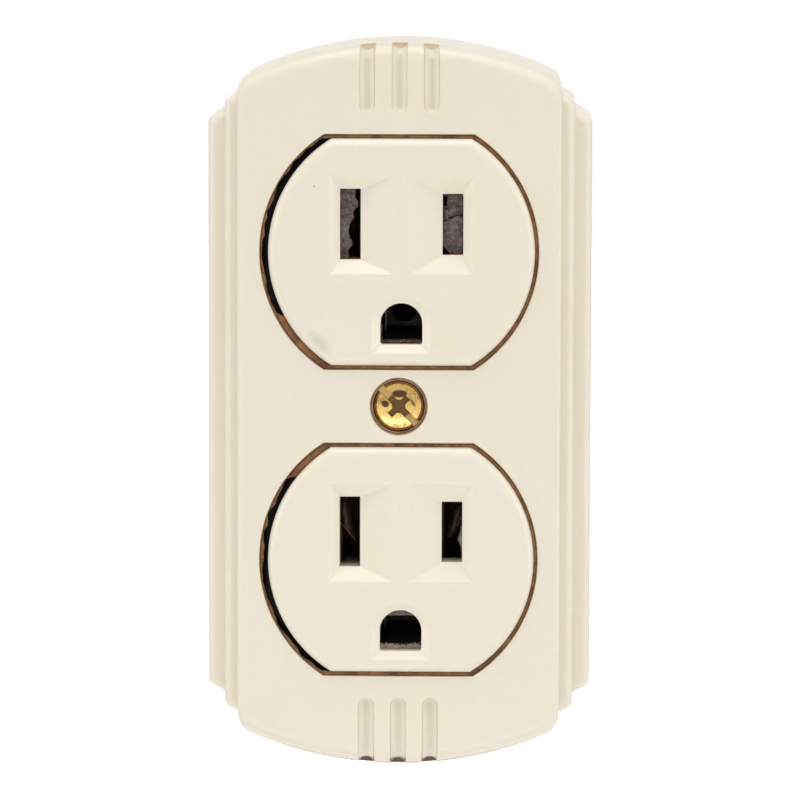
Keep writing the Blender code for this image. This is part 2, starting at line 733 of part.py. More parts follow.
def mounting_strap():
    """The zinc-plated strap: round the back of the body, with an ear at each end and a tab."""
    middle = STRAP_THICKNESS / 2
    run = BODY_HALF_HEIGHT + FIT + middle
    ear = POST_PLACE + EAR_END
    path = [(EAR_BACK + middle, -ear), (EAR_BACK + middle, -run), (STRAP_BACK + middle, -run),
            (STRAP_BACK + middle, run), (EAR_BACK + middle, run), (EAR_BACK + middle, ear)]
    strap = strip("mounting_strap", path, STRAP_BEND, STRAP_THICKNESS,
                  lambda depth, z, side: place(side, depth, z), STRAP_HALF_WIDTH)
    tab_out = SIDE_PLATE + middle
    tab = strip("ground_tab", [(-TAB_ROOT, STRAP_BACK + middle), (-tab_out, STRAP_BACK + middle),
                               (-tab_out, TAB_TOP)], STRAP_BEND, STRAP_THICKNESS,
                lambda x, depth, side: place(x, depth, side - TAB_DROP), TAB_HALF_WIDTH)
    join(strap, tab)
    shoulder = run + middle + STRAP_BEND
    for end, name in ((1, "top"), (-1, "bottom")):
        for label, side in (("left", LEFT), ("right", RIGHT)):
            sides = sorted((side * EAR_HALF_WIDTH, side * (STRAP_HALF_WIDTH + OVERRUN)))
            heights = sorted((end * shoulder, end * (ear + OVERRUN)))
            cut(strap, box(f"ear_side_{name}_{label}", *sides, EAR_BACK - OVERRUN,
                           EAR_BACK + STRAP_THICKNESS + OVERRUN, *heights))
        cut(strap, rod(f"ear_hole_{name}", STRAP_SCREW_SHANK + FIT,
                       place(0, EAR_BACK - OVERRUN, end * POST_PLACE),
                       place(0, EAR_BACK + STRAP_THICKNESS + OVERRUN, end * POST_PLACE)))
    for name, z in face_centres():
        cut(strap, rod(f"strap_ground_hole_{name}", GROUND_RIVET_RADIUS + FIT,
                       place(0, STRAP_BACK - OVERRUN, z - GROUND_DROP),
                       place(0, STRAP_FRONT + OVERRUN, z - GROUND_DROP)))
    cut_rivet_holes(strap, "strap", STRAP_BACK - OVERRUN, STRAP_FRONT + OVERRUN)
    cut(strap, rod("tab_hole", TERMINAL_SHANK + FIT,
                   place(-SIDE_PLATE + OVERRUN, GROUND_TERMINAL_DEPTH, -TAB_DROP),
                   place(-SIDE_PLATE - STRAP_THICKNESS - OVERRUN, GROUND_TERMINAL_DEPTH,
                         -TAB_DROP)))
    finish(strap, "zinc-plated steel", "#b9bcbd", 0.35, 1)
    return strap


def clip_path(middle, side, floor):
    """The middle line of a blade clip, from one leaf's tip round to the other's."""
    pinch = LEAF_TIP - CLIP_PINCH_BACK
    leaf = [(CLIP_FLARE, LEAF_TIP), (CLIP_PINCH, pinch), (CLIP_ROOT, floor + CLIP_SHOULDER),
            (CLIP_ROOT, floor)]
    near = [(middle + side * out, depth) for out, depth in leaf]
    far = [(middle - side * out, depth) for out, depth in reversed(leaf)]
    return near + far


def blade_contact(name, side):
    """A brass strip with a side plate for two screws and a clip behind each slot."""
    floor = CONTACT_FLOOR + FIT + LEAF / 2
    middle = side * SLOT_PITCH / 2
    plate_sides = sorted((side * SIDE_PLATE, side * (SIDE_PLATE + LEAF)))
    back = floor - LEAF / 2
    plate = box(name, *plate_sides, back, PLATE_TOP, SLOT_RISE - SIDE_PLATE_REACH,
                SLOT_RISE + SIDE_PLATE_REACH)
    arm_ends = sorted((middle, side * (SIDE_PLATE + LEAF / 2)))
    for label, z in face_centres():
        centre = z + SLOT_RISE
        join(plate,
             box(f"{name}_arm_{label}", *arm_ends, back, back + LEAF,
                 centre - ARM_HALF_HEIGHT, centre + ARM_HALF_HEIGHT),
             strip(f"{name}_clip_{label}", clip_path(middle, side, floor), CLIP_BEND, LEAF,
                   lambda x, depth, spread, at=centre: place(x, depth, at + spread),
                   CLIP_HALF_HEIGHT))
    outer = sorted((side * (SIDE_PLATE - OVERRUN), side * (SIDE_PLATE + LEAF + OVERRUN)))
    for label, end in (("upper", 1), ("lower", -1)):
        notch = SLOT_RISE + end * BREAK_OFF_HALF
        cut(plate, box(f"{name}_notch_{label}", *outer, back + BREAK_OFF_NECK,
                       PLATE_TOP + OVERRUN, notch - BREAK_OFF_CUT / 2, notch + BREAK_OFF_CUT / 2))
        screw = SLOT_RISE + end * TERMINAL_OUT
        cut(plate, rod(f"{name}_screw_hole_{label}", TERMINAL_SHANK + FIT,
                       place(outer[0], TERMINAL_DEPTH, screw),
                       place(outer[1], TERMINAL_DEPTH, screw)))
    finish(plate, f"brass of the {name}", "#a8823f", 0.3, 1)
    return plate


def ground_contact(name, z):
    """A bent clip on the strap, with a leaf above and below the ground pin."""
    middle = z - GROUND_DROP
    foot = STRAP_FRONT + FIT + LEAF / 2
    pinch = LEAF_TIP - CLIP_PINCH_BACK
    leaf = [(LEAF_TIP, GROUND_FLARE), (pinch, GROUND_PINCH),
            (foot + CLIP_SHOULDER, GROUND_ROOT), (foot, GROUND_ROOT)]
    path = [(depth, middle + out) for depth, out in leaf]
    path += [(depth, middle - out) for depth, out in reversed(leaf)]
    clip = strip(f"ground_contact_{name}", path, CLIP_BEND, LEAF,
                 lambda depth, height, side: place(side, depth, height), GROUND_HALF_WIDTH)
    cut(clip, rod(f"ground_contact_hole_{name}", GROUND_RIVET_RADIUS + FIT,
                  place(0, STRAP_FRONT, middle), place(0, foot + LEAF, middle)))
    finish(clip, f"tinned brass of the {name} ground contact", "#9c968a", 0.35, 1)
    return clip


def rivet(name, x, z, back, front, radius, head_radius, head):
    """A rivet through pieces from one depth to another, with a domed head and a flat tail."""
    length = front - back + 2 * FIT
    dome = [(head_radius * math.sin(turn), length + head * math.cos(turn))
            for turn in (math.pi / 2 * step / DOME_STEPS for step in range(DOME_STEPS + 1))]
    profile = dome + [(radius, length), (radius, 0), (head_radius, 0),
                      (head_radius, -RIVET_TAIL), (0, -RIVET_TAIL)]
    piece = turned(name, profile, place(x, back - FIT, z), FORWARD, SMALL_TURN_STEPS)
    finish(piece, f"plated steel of {name}", "#a9abad", 0.35, 1)
    return piece


def screw_profile(head_radius, head, rim, shank, length):
    """Half a pan-headed screw, from the middle of the head down to its point."""
    dome = [(head_radius * math.sin(turn), rim + (head - rim) * math.cos(turn))
            for turn in (math.pi / 2 * step / DOME_STEPS for step in range(DOME_STEPS + 1))]
    return dome + [(head_radius, 0), (shank, 0), (shank, POINT_LENGTH - length),
                   (shank * POINT_SHARE, -length), (0, -length)]


def screw(name, seat, facing, head_radius, head, shank, length, steps=SMALL_TURN_STEPS):
    """A slotted screw whose head's underside lies at the seat and looks along facing."""
    profile = screw_profile(head_radius, head, head * SCREW_RIM_SHARE, shank, length)
    piece = turned(name, profile, seat, facing, steps)
    bottom = head * (1 - DRIVE_SLOT_SHARE)
    reach = head_radius + OVERRUN
    cut(piece, block_in_head(f"{name}_drive", reach, DRIVE_SLOT / 2, bottom, head + OVERRUN))
    return piece


def block_in_head(name, half_length, half_width, bottom, top):
    """A block in a screw's own frame, where z runs out of its head."""
    shape = bmesh.new()
    bmesh.ops.create_cube(shape, size=1)
    size = (2 * half_length, 2 * half_width, top - bottom)
    bmesh.ops.scale(shape, verts=shape.verts, vec=size)
    bmesh.ops.translate(shape, verts=shape.verts, vec=(0, 0, (top + bottom) / 2))
    return add_mesh(name, shape)


def cover_screw():
    """The brass screw in the middle, with a slot and a cross recess."""
    profile = screw_profile(COVER_SCREW_HEAD_RADIUS, COVER_SCREW_HEAD, COVER_SCREW_RIM,
                            COVER_SCREW_SHANK, COVER_SCREW_LENGTH)
    piece = turned("cover_screw", profile, place(0, COUNTERBORE_FLOOR + FIT, 0), FORWARD)
    bottom = COVER_SCREW_HEAD * (1 - DRIVE_SLOT_SHARE)
    top = COVER_SCREW_HEAD + OVERRUN
    drive = block_in_head("cover_screw_slot", COVER_SCREW_HEAD_RADIUS + OVERRUN,
                          DRIVE_SLOT / 2, bottom, top)
    cross = block_in_head("cover_screw_cross", CROSS_HALF_LENGTH, CROSS_WIDTH / 2,
                          bottom - FIT, top)
    drive.rotation_euler.z = -math.pi / 4
    cross.rotation_euler.z = math.pi / 4
    cut(piece, drive, cross)
    finish(piece, "brass of the cover screw", "#c6a86a", 0.25, 1)
    return piece


def cover_screw_nut():
    """The square nut that the cover screw goes into, trapped between face and body."""
    outline = rounded_rectangle(NUT_HALF, NUT_HALF, NUT_CHAMFER)
    nut = prism("cover_screw_nut", outline, FACE_BACK, FACE_BACK + NUT_HEIGHT)
    cut(nut, rod("nut_thread", COVER_SCREW_SHANK + FIT, place(0, FACE_BACK - OVERRUN, 0),
                 place(0, FACE_BACK + NUT_HEIGHT + OVERRUN, 0)))
    finish(nut, "zinc-plated steel of the nut", "#b4b6b6", 0.4, 1)
    return nut


def terminal_screws():
    """Two brass, two nickel and one green screw, all facing out of the device's sides."""
    finishes = {"hot": ("#b58f4c", 0.3), "neutral": ("#c9c8c3", 0.28)}
    made = []
    for name, side, z in blade_terminals():
        contact = name.split("_")[0]
        seat = place(side * BLADE_SEAT, TERMINAL_DEPTH, z)
        piece = screw(name.replace("_", "_terminal_screw_"), seat, Vector((side, 0, 0)),
                      TERMINAL_HEAD_RADIUS, TERMINAL_HEAD, TERMINAL_SHANK, TERMINAL_LENGTH)
        finish(piece, f"plating of the {name} screw", *finishes[contact], 1)
        made.append(piece)
    seat = place(-GROUND_SEAT, GROUND_TERMINAL_DEPTH, -TAB_DROP)
    piece = screw("ground_terminal_screw", seat, Vector((LEFT, 0, 0)), TERMINAL_HEAD_RADIUS,
                  TERMINAL_HEAD, TERMINAL_SHANK, TERMINAL_LENGTH)
    finish(piece, "green passivated steel", "#2f7a43", 0.35, 1)
    return made + [piece]


def strap_screws():
    made = []
    for name, end in (("upper", 1), ("lower", -1)):
        seat = place(0, EAR_BACK + STRAP_THICKNESS + FIT, end * POST_PLACE)
        piece = screw(f"strap_screw_{name}", seat, FORWARD, STRAP_SCREW_HEAD_RADIUS,
                      STRAP_SCREW_HEAD, STRAP_SCREW_SHANK, STRAP_SCREW_LENGTH)
        finish(piece, f"zinc-plated steel of the {name} strap screw", "#b4b6b6", 0.35, 1)
        made.append(piece)
    return made


def rivets():
    made = [rivet(f"assembly_rivet_{name}", side * RIVET_OUT, 0, STRAP_BACK, FACE_LAND,
                  RIVET_RADIUS, RIVET_HEAD_RADIUS, RIVET_HEAD)
            for name, side in (("left", LEFT), ("right", RIGHT))]
    made += [rivet(f"ground_rivet_{name}", 0, z - GROUND_DROP, STRAP_BACK,
                   STRAP_FRONT + FIT + LEAF, GROUND_RIVET_RADIUS, GROUND_RIVET_HEAD_RADIUS,
                   RIVET_TAIL)
             for name, z in face_centres()]
    return made


def knock_out_score(name, side, end):
    """A groove inside the end wall that leaves a thin web round a panel to knock out."""
    heights = sorted((end * SCORE_START, end * (PANEL_CROWN + OVERRUN)))
    sill = FLOOR + WINDOW_SILL
    left = side * CABLE_OUT - CABLE_WIDTH / 2
    right = side * CABLE_OUT + CABLE_WIDTH / 2
    frame = box(name, left, right, sill, sill + CABLE_HEIGHT, *heights)
    core = box(f"{name}_core", left + SCORE_WIDTH, right - SCORE_WIDTH, sill + SCORE_WIDTH,
               sill + CABLE_HEIGHT - SCORE_WIDTH, heights[0] - OVERRUN, heights[1] + OVERRUN)
    cut(frame, core)
    combine(frame, tier_slab(f"{name}_depth", PANEL, 0, BASE_DEPTH, SCORE_WEB, False), "INTERSECT")
    return frame


def clamp_screw_places():
    """The two clamp screws by name and x."""
    return [(name, -CABLE_OUT + side * CLAMP_SCREW_OUT)
            for name, side in (("left", LEFT), ("right", RIGHT))]


def rear_base():
    """The ivory box on the wall: lip, posts for the strap, wall slots and cable window."""
    lip_front = BASE_DEPTH + LIP_HEIGHT
    base = tier_stack("rear_base", 0, [BASE_DEPTH] * len(TIERS))
    join(base, tier_stack("base_lip", FLOOR, [lip_front] * len(TIERS), inset=LAP))
    cut(base, tier_stack("base_hollow", FLOOR, [lip_front + OVERRUN] * len(TIERS), inset=WALL))
    for end, name in ((1, "top"), (-1, "bottom")):
        z = end * POST_PLACE
        rib = sorted((z, end * (PANEL_CROWN - WALL / 2)))
        join(base,
             rod(f"post_{name}", POST_RADIUS, place(DEVICE_SHIFT, FLOOR / 2, z),
                 place(DEVICE_SHIFT, POST_TOP, z), TURN_STEPS),
             box(f"post_rib_{name}", DEVICE_SHIFT - POST_RIB_HALF_WIDTH,
                 DEVICE_SHIFT + POST_RIB_HALF_WIDTH, FLOOR / 2, POST_TOP - LIP_HEIGHT, *rib))
        pilot = EAR_BACK + STRAP_THICKNESS + FIT - STRAP_SCREW_LENGTH - OVERRUN
        cut(base, rod(f"post_pilot_{name}", STRAP_SCREW_SHANK + FIT,
                      place(DEVICE_SHIFT, pilot, z), place(DEVICE_SHIFT, POST_TOP + OVERRUN, z)))
    for name, x in clamp_screw_places():
        join(base, rod(f"clamp_boss_{name}", CLAMP_BOSS_RADIUS, place(x, FLOOR / 2, -CLAMP_PLACE),
                       place(x, CLAMP_BOSS_TOP, -CLAMP_PLACE)))
        pilot = CLAMP_BACK + CLAMP_THICKNESS + FIT - CLAMP_SCREW_LENGTH - FIT
        cut(base, rod(f"clamp_pilot_{name}", CLAMP_SCREW_SHANK + FIT, place(x, pilot, -CLAMP_PLACE),
                      place(x, CLAMP_BOSS_TOP + OVERRUN, -CLAMP_PLACE)))
    cut(base, box("cable_window", -CABLE_OUT - CABLE_WIDTH / 2, -CABLE_OUT + CABLE_WIDTH / 2,
                  FLOOR + WINDOW_SILL, FLOOR + WINDOW_SILL + CABLE_HEIGHT,
                  -PANEL_CROWN - OVERRUN, -CLAMP_PLACE - CLAMP_HALF_WIDTH))
    for name, side, end in (("top_left", LEFT, 1), ("top_right", RIGHT, 1),
                            ("bottom_right", RIGHT, -1)):
        cut(base, knock_out_score(f"knock_out_{name}", side, end))
    slot = rounded_rectangle(WALL_SLOT_HALF_WIDTH, WALL_SLOT_HALF_LENGTH, WALL_SLOT_HALF_WIDTH)
    for name, side in (("lower", LEFT), ("upper", RIGHT)):
        cut(base, prism(f"wall_slot_{name}",
                        shifted(slot, side * WALL_SLOT_OUT, side * WALL_SLOT_UP),
                        -OVERRUN, FLOOR + OVERRUN))
    finish(base, "moulded ivory plastic of the base", "#e4dac2", 0.4)
    return base


def cable_clamp():
    """A bent saddle over the cable, on two bosses of the base, with its screws."""
    middle = CLAMP_BACK + CLAMP_THICKNESS / 2
    foot = CLAMP_SCREW_OUT + CLAMP_FOOT
    arch_foot = CLAMP_SCREW_OUT - CLAMP_SCREW_HEAD_RADIUS - CLAMP_THICKNESS / 2 - FIT
    arch_top = arch_foot - CLAMP_ARCH / 2
    half = [(-foot, middle), (-arch_foot, middle), (-arch_top, middle + CLAMP_ARCH)]
    path = [(x - CABLE_OUT, depth) for x, depth in half]
    path += [(-x - CABLE_OUT, depth) for x, depth in reversed(half)]
    clamp = strip("cable_clamp", path, CLIP_BEND, CLAMP_THICKNESS,
                  lambda x, depth, side: place(x, depth, side - CLAMP_PLACE), CLAMP_HALF_WIDTH)
    made = [clamp]
    for name, x in clamp_screw_places():
        cut(clamp, rod(f"clamp_hole_{name}", CLAMP_SCREW_SHANK + FIT,
                       place(x, CLAMP_BOSS_TOP, -CLAMP_PLACE),
                       place(x, CLAMP_BACK + CLAMP_THICKNESS + OVERRUN, -CLAMP_PLACE)))
        seat = place(x, CLAMP_BACK + CLAMP_THICKNESS + FIT, -CLAMP_PLACE)
        piece = screw(f"clamp_screw_{name}", seat, FORWARD, CLAMP_SCREW_HEAD_RADIUS,
                      CLAMP_SCREW_HEAD, CLAMP_SCREW_SHANK, CLAMP_SCREW_LENGTH)
        finish(piece, f"zinc-plated steel of the {name} clamp screw", "#b4b6b6", 0.35, 1)
        made.append(piece)
    finish(clamp, "zinc-plated steel of the clamp", "#b0b2b2", 0.4, 1)
    return made


def build_outlet():
    """Make every piece, then hang the device's own pieces on its slightly shifted middle."""
    front_cover()
    rear_base()
    cover_screw()
    cover_screw_nut()
    cable_clamp()
    device = [receptacle_body(), mounting_strap(), blade_contact("hot_contact", RIGHT),
              blade_contact("neutral_contact", LEFT)]
    for name, z in face_centres():
        device += [receptacle_face(name, z), ground_contact(name, z)]
    device += terminal_screws() + strap_screws() + rivets()
    middle = bpy.data.objects.new("device_middle", None)
    PARTS.objects.link(middle)
    middle.location = (DEVICE_SHIFT, 0, 0)
    for piece in device:
        piece.parent = middle


build_outlet()
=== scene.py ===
"""Surface mount duplex outlet: the finished looks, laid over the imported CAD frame.

The back of the base lies in the plane y = 0, the front looks along -Y and +Z is up, as in
the frame. A depth is measured forward from the wall, so a depth d lies at y = -d.
"""

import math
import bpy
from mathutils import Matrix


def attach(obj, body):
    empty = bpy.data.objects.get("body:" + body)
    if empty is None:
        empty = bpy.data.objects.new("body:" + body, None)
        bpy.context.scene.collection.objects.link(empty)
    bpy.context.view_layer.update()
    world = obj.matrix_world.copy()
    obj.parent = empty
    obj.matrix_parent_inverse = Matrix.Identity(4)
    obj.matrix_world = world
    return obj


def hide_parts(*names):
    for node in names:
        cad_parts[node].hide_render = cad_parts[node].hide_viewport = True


bl_info = {
    "name": "Surface Mount Duplex Outlet",
    "version": (1, 0, 0),
    "blender": (4, 5, 0),
    "location": "View3D > Sidebar > Outlet",
    "description": "Builds the finished looks of a surface mount duplex outlet",
    "category": "Add Mesh",
}

from collections import namedtuple

import bmesh
import bpy
from bpy.props import FloatProperty, FloatVectorProperty, IntProperty, PointerProperty
from mathutils import Matrix, Vector, noise
import numpy as np

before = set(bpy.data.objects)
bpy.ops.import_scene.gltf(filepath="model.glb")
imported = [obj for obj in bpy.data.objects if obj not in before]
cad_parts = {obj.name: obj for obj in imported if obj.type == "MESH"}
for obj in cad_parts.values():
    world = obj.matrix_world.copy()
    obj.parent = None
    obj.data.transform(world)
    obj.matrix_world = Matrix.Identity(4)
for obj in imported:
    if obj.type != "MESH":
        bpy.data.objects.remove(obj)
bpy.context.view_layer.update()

# Fits and cuts, as in the frame
FIT = 0.0003
OVERRUN = 0.0010
OVER_SHARE = 1.002

# Depths that the frame fixes
BASE_DEPTH = 0.0180
COVER_BACK = 0.0183
COVER_FRONT = 0.0305
FACE_BACK = 0.0188
FACE_LAND = 0.0240
FACE_FRONT = 0.0313
POCKET_FRONT = 0.0254
COUNTERBORE_FLOOR = 0.0286
FLOOR = 0.0022
WALL = 0.0022
LAP = 0.0012
LIP_HEIGHT = 0.0015

# Screws, posts, window and slots of the case
SCREW_HOLE_RADIUS = 0.0019
BOSS_RADIUS = 0.0043
POST_RADIUS = 0.0026
POST_TOP = 0.0167
POST_PLACE = 0.0392
POST_RIB_HALF_WIDTH = 0.0009
POST_PILOT_RADIUS = 0.0017
POST_PILOT_DEPTH = 0.0085
CLAMP_PLACE = 0.0379
CLAMP_BOSS_RADIUS = 0.0017
CLAMP_BOSS_TOP = 0.0070
CLAMP_PILOT_RADIUS = 0.0012
CLAMP_PILOT_DEPTH = 0.0038
CLAMP_SCREW_OUT = 0.0054
CABLE_OUT = 0.01065
CABLE_WIDTH = 0.0071
CABLE_HEIGHT = 0.0060
WINDOW_SILL = 0.0004
CLAMP_HALF_WIDTH = 0.0015
SCORE_WIDTH = 0.0006
SCORE_WEB = 0.0009
SCORE_START = 0.0400
WALL_SLOT_HALF_WIDTH = 0.0023
WALL_SLOT_HALF_LENGTH = 0.0038
WALL_SLOT_OUT = 0.0173
WALL_SLOT_UP = 0.0220

# Receptacle
DEVICE_SHIFT = 0.0003
FACE_SPACING = 0.0389
SLOT_PITCH = 0.0129
SLOT_RISE = 0.0035
GROUND_DROP = 0.0090
RIVET_OUT = 0.0082
RIVET_HOLE_RADIUS = 0.0018
NUT_ROOM = 0.0040
NUT_ROOM_DEPTH = 0.0027
CLIP_ROOM = 0.0026
CLIP_HALF_HEIGHT = 0.0045
GROUND_ROOM = 0.0034
GROUND_ROOM_HALF_WIDTH = 0.00295

PLATE_HALF_WIDTH = 0.0175
PLATE_BORDER = 0.0012
PLATE_CORNER = 0.0020
FACE_SCREW_HOLE = 0.0022

UPPER = FACE_SPACING / 2
LOWER = -FACE_SPACING / 2
LEFT, RIGHT = -1, 1
SHARP_ANGLE = math.radians(32)

# How many flat steps stand for each rounding
CIRCLE_SIDES = 64
CORNER_STEPS = 7
FILLET_STEPS = 8
GROOVE_END_STEPS = 10
GROOVE_TURN_STEPS = 24
GROOVE_LIP_STEPS = 5
GROOVE_FLOOR_STEPS = 16
EDGE_STEPS = 6
SEAT_STEPS = 5
DOME_STEPS = 12

# How far a groove runs on behind the end fillet, and the rounding of the screw seat's edge
GROOVE_RUN_OUT = 0.0006
SEAT_EDGE = 0.0003

# Edges of the faces, their slots and the shallow borders round the lead-ins
RIM_STEPS = 10
BORDER_STEPS = 6
BORDER_DEPTH = 0.00010
BORDER_CLEAR = 0.000004
RIDGE_BORDER = 0.0003
SLOT_CORNER = 0.00010
LEAD_IN_CORNER = 0.00016
BORDER_CORNER = 0.0009
GROUND_CORNER = 0.0003
SLOT_MOUTH = 0.0298
SCREW_SEAT = 0.0289

# Cover screw: the small flats at its ends, the break of its rim, and its thread
SCREW_TIP_RADIUS = 0.0002
SCREW_POINT_SHARE = 0.6
HEAD_CHAMFER = 0.0001
THREAD_START = 0.0010
THREAD_ROOM = 0.0018
THREAD_DEPTH = 0.0003

# Studio
FLOOR_REACH = 6
FLOOR_HEIGHT = -0.35
WORLD_LIGHT = 0.31
SENSOR_WIDTH = 36
NEAR, FAR = 0.01, 20
AIM = (0.00016, 0.00083)
LAMPS = {
    "top softbox": ((0, -0.26, 0.78), (0.8, 0.5), 4.7),
    "left softbox": ((-0.75, -0.35, 0.05), (0.4, 0.6), 2.1),
    "right softbox": ((0.75, -0.35, 0.05), (0.4, 0.6), 2.25),
    "low softbox": ((0, -0.45, -0.28), (0.6, 0.1), 0.62),
}

# Marks on the upper face, and painted reflections on the screw: place, turn, half size, strength
# and solid share
SMUDGE = ((-0.0103, 0, 0.0082), math.radians(48), (0.0024, 0.0010), 0.32)
SPECK = ((-0.01096, 0, 0.02775), 0, (0.00014, 0.00014), 0.7, 0.4)
PAINTED_REFLECTIONS = (((0.0001, 0, 0.0016), 0, (0.0011, 0.00052), 0.92, 0.75),
           ((-0.0017, 0, 0.0003), math.radians(20), (0.00055, 0.00048), 0.92, 0.75),
           ((0.0018, 0, 0.0004), math.radians(60), (0.0007, 0.00024), 0.75, 0.5))
YELLOWING = (0.985, 0.965, 0.93)

# Where stains, dirt and painted shade start and where they are full, as depths behind the front
# or as heights
# Painted shade on the bottom edge of the case
BOTTOM_LINE_DEPTH = 0.0017
BOTTOM_LINE_FADE = (0.0004, 0.0009)
BOTTOM_LINE_HEIGHTS = (-0.0415, -0.0440)
SLOT_STAIN_FADE = 0.0005
# Dirt and painted shade round the openings, painted shade deeper down
STAIN_AND_SHADE_DEPTHS = (0.00001, 0.00006)
DEEP_SHADE_DEPTHS = (0.0003, 0.0006)
# Dirt and painted shade in the screw's recess and at the grooves' bottom ends, painted shade in
# the grooves' top spots
RECESS_DIRT_AND_SHADE_HEIGHTS = (0.00055, 0.0003)
GROOVE_DIRT_AND_SHADE_REACH = (0.0011, 0.0006)
GROOVE_SHADE_SPOT_REACH = (0.0006, 0.0002)

# Dirt and painted shade in the gaps, and painted shade in the screw seat. The shares say where
# along a face's outline the gap is clean.
SHADE_SHEET_FRONT = 0.0281
SHADE_SHEET_MARGIN = 0.0003
SCREW_SEAT_RADIUS = 0.0035
SEAT_SHADE_FRONT = 0.0299
DIRT_AND_SHADE_CLEAR = 0.00003
DIRT_AND_SHADE_FRONT = 0.0303
DIRT_AND_SHADE_THICKNESS = 0.0006
DIRT_LUMPS = 900
DIRT_LUMP_HEIGHT = 0.00006
CLEAN_SHARES = {"upper": (0.505, 0.86), "lower": (0.59, 0.985)}
CLEAN_WIDTH_SHARE = 0.22

# Oxide and leaves in the slots, measured from the middle of each slot. Lumps have a
# fineness and a height.
CRUST_CELL = 0.0001
CRUST_CLEAR = 0.00004
CRUST_FRONT = 0.0284
COARSE_LUMPS = (1400, 0.00022)
FINE_LUMPS = (4200, 0.00009)
BORDER_WANDER = (3600, 0.00012)
BORDER_PLANE = 5
NEUTRAL_CRUST_EDGE = ((-0.0045, -0.0003), (-0.0041, -0.0001), (-0.0034, -0.0003),
                      (-0.0029, 0.0001), (-0.0024, 0.0003), (-0.0018, -0.0001),
                      (-0.0010, -0.0003), (0.0000, -0.0001), (0.0007, 0.0004),
                      (0.0016, 0.0003), (0.0021, 0.0009), (0.0026, 0.0010),
                      (0.0033, 0.0006), (0.0038, 0.0007), (0.0045, 0.0005))
HOT_CRACK = ((-0.0013, 0.0002), (-0.0004, 0.0007), (0.0002, 0.0010), (0.0013, 0.0011))
CRACK_HALF = 0.00007
CRACK_STEP = 0.0003
HOT_CORNER_SIDE = -0.0008
HOT_TOP_CORNER = (0.0023, 0.0035)
HOT_LOW_CORNER = (-0.0033, -0.0025)
HOT_LUMP = (-0.0008, 0.0012)
HOT_LUMP_SIZE = (0.0004, 0.0009)
HOT_LUMP_HEIGHT = 0.0003
GROUND_FOOT_HEIGHT = 0.00035
GROUND_SIDE_WIDTH = 0.00015
CHALK_HEIGHT = 0.0004
CHALK_RISE = 0.08
CLIP_SHOWN = 0.0009
LEAF_FRONT = 0.0262
TIP_FRONT = 0.0280
LEAF_THICKNESS = 0.0003
EDGE_RADIUS = 0.00004
NEUTRAL_LEAF = ((-0.0013, 0.0044), (-0.0013, 0.0008), (0.0007, -0.0017), (0.0006, -0.0011),
                (0.0001, 0.0015), (-0.0005, 0.0039), (-0.0006, 0.0044))
NEUTRAL_LEAF_EDGE = ((-0.0013, 0.0008), (0.0007, -0.0017))
HOT_LEAF = ((0.0013, 0.0036), (0.0003, 0.0022), (-0.0001, 0.0010), (-0.0007, -0.0012),
            (-0.0003, -0.0012), (0.0006, -0.0004), (0.0009, 0.0006), (0.0012, 0.0020),
            (0.0013, 0.0022))
HOT_LEAF_EDGE = ((0.0011, 0.0016), (0.0006, 0.0002))
HOT_SLIVER = ((0.0007, -0.0012), (0.0012, 0.0005), (0.0013, 0.0005), (0.0013, -0.0024),
              (0.0010, -0.0018))

Tier = namedtuple("Tier", "half_width crown front corner side_fillet end_fillet")


def linear(code):
    """Turn an sRGB hex colour into linear red, green, blue and alpha."""
    parts = [int(code[index:index + 2], 16) / 255 for index in (1, 3, 5)]
    return (*(part / 12.92 if part <= 0.04045 else ((part + 0.055) / 1.055) ** 2.4
              for part in parts), 1)


def length(name, description, default):
    """A size of the model, in metres."""
    return FloatProperty(name=name, description=description, default=default, min=0,
                         precision=5, unit="LENGTH")


def shade(name, description, code):
    """A colour that the user can change."""
    return FloatVectorProperty(name=name, description=description, default=linear(code),
                               size=4, min=0, max=1, subtype="COLOR")


class OutletCase(bpy.types.PropertyGroup):
    """Sizes of the stepped case."""

    half_width: length("Panel half width", "Half the width of the front panel", 0.02035)
    crown: length("Panel crown", "From the middle to the top of the arched end", 0.0457)
    end_arc: length("End arc", "Radius of the arched ends", 0.0475)
    corner: length("Panel corner", "Radius of the panel's upright corners", 0.0024)
    side_fillet: length("Side fillet", "Rounding of the panel's long edges", 0.00045)
    end_fillet: length("End fillet", "Rounding of the panel's arched edges", 0.0020)
    second_step: length("Second step", "How far the second tier stands out", 0.00175)
    second_drop: length("Second drop", "How much shorter the second tier is", 0.0018)
    second_setback: length("Second setback", "How far back the second tier lies", 0.0025)
    third_step: length("Third step", "How far the third tier stands out", 0.0022)
    third_drop: length("Third drop", "How much shorter the third tier is", 0.0012)
    third_setback: length("Third setback", "How far back the third tier lies", 0.0027)
    tier_corner: length("Tier corner", "Radius of the tiers' corners", 0.0010)
    tier_fillet: length("Tier fillet", "Rounding of the tiers' front edges", 0.0010)
    draft: FloatProperty(name="Draft", description="Taper of the walls", default=0.010)
    groove_radius: length("Groove radius", "Radius of the end grooves", 0.0009)
    groove_depth: length("Groove depth", "Depth of the end grooves", 0.00073)
    groove_lip: length("Groove lip", "Rounding of the grooves' edges", 0.00016)
    groove_pitch: length("Groove pitch", "From one groove to the next", 0.00405)
    groove_start: length("Groove start", "Height at which the grooves start", 0.0370)
    opening_edge: length("Opening edge", "Rounding round the two openings", 0.00022)


